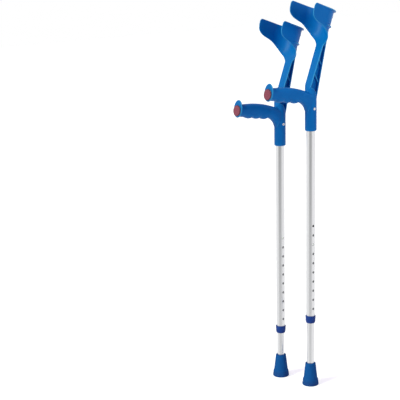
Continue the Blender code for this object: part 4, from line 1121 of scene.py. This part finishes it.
def white_surround():
    """The studio round the object: white for the camera and a faint violet light on matt skins.

    What shines shows white walls, with a darker gap on one side.
    """
    world = bpy.data.worlds.new("studio")
    bpy.context.scene.world = world
    world.use_nodes = True
    tree = world.node_tree
    tree.nodes.clear()
    place = add(tree, "ShaderNodeTexCoord", out="Generated")
    # The gap is widest at its azimuth, and it ends above the floor
    flat = add(tree, "ShaderNodeVectorMath", {1: (1.0, 1.0, 0.0)}, {0: place}, operation="MULTIPLY")
    level = add(tree, "ShaderNodeVectorMath", {}, {0: flat}, operation="NORMALIZE")
    gap = math.radians(GAP_AZIMUTH)
    middle = {1: (math.sin(gap), -math.cos(gap), 0.0)}
    facing = add(
        tree, "ShaderNodeVectorMath", middle, {0: level}, out="Value", operation="DOT_PRODUCT"
    )
    edges = {"From Min": GAP_SIDES[0], "From Max": GAP_SIDES[1]}
    across = add(tree, "ShaderNodeMapRange", edges, {0: facing}, interpolation_type="SMOOTHSTEP")
    up = add(tree, "ShaderNodeSeparateXYZ", {}, {0: place}, out="Z")
    start = {"From Min": GAP_FOOT[0], "From Max": GAP_FOOT[1]}
    above = add(tree, "ShaderNodeMapRange", start, {0: up}, interpolation_type="SMOOTHSTEP")
    share = add(tree, "ShaderNodeMath", {}, {0: across, 1: above}, operation="MULTIPLY")
    depth = {1: -GAP_DEPTH, 2: WALLS}
    wall = add(tree, "ShaderNodeMath", depth, {0: share}, operation="MULTIPLY_ADD")
    walls = add(tree, "ShaderNodeBackground", {"Color": (1, 1, 1, 1)}, {"Strength": wall})
    ambient = add(tree, "ShaderNodeBackground", {"Color": linear("F2D8FF"), "Strength": AMBIENT})
    backdrop = add(tree, "ShaderNodeBackground", {"Color": (1, 1, 1, 1), "Strength": 1.0})
    shiny = add(tree, "ShaderNodeLightPath", out="Is Glossy Ray")
    lit = add(tree, "ShaderNodeMixShader", {}, {0: shiny, 1: ambient, 2: walls})
    mixed = add(tree, "ShaderNodeMixShader", {}, {0: seen_directly(tree), 1: lit, 2: backdrop})
    add(tree, "ShaderNodeOutputWorld", {}, {"Surface": mixed})


def lamp(kind, name, back, stand, power, colour):
    """A lamp at the point "stand", which shines from the direction "back"."""
    data = bpy.data.lights.new(name, kind)
    data.energy = power
    data.color = linear(colour)[:3]
    turn = back.to_track_quat("Z", "Y").to_matrix().to_4x4()
    placed(name, data).matrix_world = Matrix.Translation(stand) @ turn
    return data


def lamps():
    """Distant lamps for the key and the strip light, and a near round one at the side."""
    for name, azimuth, elevation, softness, strength, colour in LAMPS:
        a, e = math.radians(azimuth), math.radians(elevation)
        back = Vector((math.sin(a) * math.cos(e), -math.cos(a) * math.cos(e), math.sin(e)))
        lamp("SUN", name, back, Vector(), strength, colour).angle = math.radians(softness)
    azimuth, distance, height, size, power = SIDE_LIGHT
    a = math.radians(azimuth)
    aim = Vector((0.0, 0.0, SIDE_LIGHT_AIM))
    back = Vector((math.sin(a) * distance, -math.cos(a) * distance, height - SIDE_LIGHT_AIM))
    data = lamp("AREA", "side light", back, aim + back, power, "F0FFFA")
    data.shape = "DISK"
    data.size = size


def main():
    """Makes each fine mesh once and puts it on both crutches, in a white studio."""
    camera()
    white_floor()
    white_surround()
    lamps()
    blue = blue_polypropylene()
    navy = navy_polyamide()
    rubber = blue_rubber()
    zinc = steel("bright zinc-plated steel", "ECEDEF", "F9F9FA", 0.24, 1.2)
    bright = steel("polished stainless steel", "CFCFD0", "DFDFE0", 0.16, 0.8)
    spring = steel("blued spring steel", "3A3F4C", "565C6A", 0.34, 2.0)

    handle = handle_mesh()
    reflector = reflector_mesh()
    rivet = rivet_mesh()
    holes = [-SOCKET_TO_FIRST_HOLE - hole * HOLE_PITCH for hole in range(HOLE_COUNT)]
    socket = heights("right_handle")[0]
    button_height = sum(heights("right_button")) / 2
    upper = tube_mesh(UPPER_RADIUS, UPPER_WALL, *heights("right_upper_tube", socket), holes)
    lower = tube_mesh(LOWER_RADIUS, LOWER_WALL, *heights("right_lower_tube"), [button_height])
    collar = collar_mesh(*heights("right_collar", socket))
    ferrule = ferrule_mesh(heights("right_ferrule")[1])
    button = along_x(button_mesh(), button_height)
    leaf = leaf_mesh()

    for side in SIDES:
        low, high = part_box(f"{side}_upper_tube")
        x, y = (low.x + high.x) / 2, (low.y + high.y) / 2
        top = Vector((x, y, heights(f"{side}_handle")[0]))
        foot = Vector((x, y, 0.0))
        slide, press = f"{side}_upper", f"{side}_button"
        hole_shade_start = heights(f"{side}_collar")[1]
        kind = f"satin anodised aluminium, {side}"
        # The upper tube has no painted shade strip, so its strip starts above the object
        outer_tube = anodised_aluminium(f"{kind} upper tube", UPPER_RADIUS, (x, y), 2.0)
        inner_tube = anodised_aluminium(f"{kind} lower tube", LOWER_RADIUS, (x, y), hole_shade_start)
        piece(handle, side, "handle", slide, top, blue)
        piece(reflector, side, "reflector", slide, top, red_acrylic(top))
        piece(rivet, side, "socket_rivet", slide, top, zinc)
        piece(upper, side, "upper_tube", slide, top, outer_tube)
        piece(collar, side, "collar", slide, top, navy)
        piece(lower, side, "lower_tube", "legs", foot, inner_tube)
        piece(ferrule, side, "ferrule", "legs", foot, rubber)
        piece(button, side, "button", press, foot, bright)
        put_on(f"{side}_ferrule_washer", zinc)
        # The leaf is given the leg, the button and two points, but is baked where it stands
        beside = foot + Vector((0.0, 0.0, button_height))
        start, end = beside + LEAF_STAYS_WITH_LEG, beside + LEAF_GOES_WITH_BUTTON
        piece(leaf, side, "leaf_spring", ("legs", press, start, end), beside, spring)

    bpy.context.scene.view_settings.view_transform = "Standard"


main()
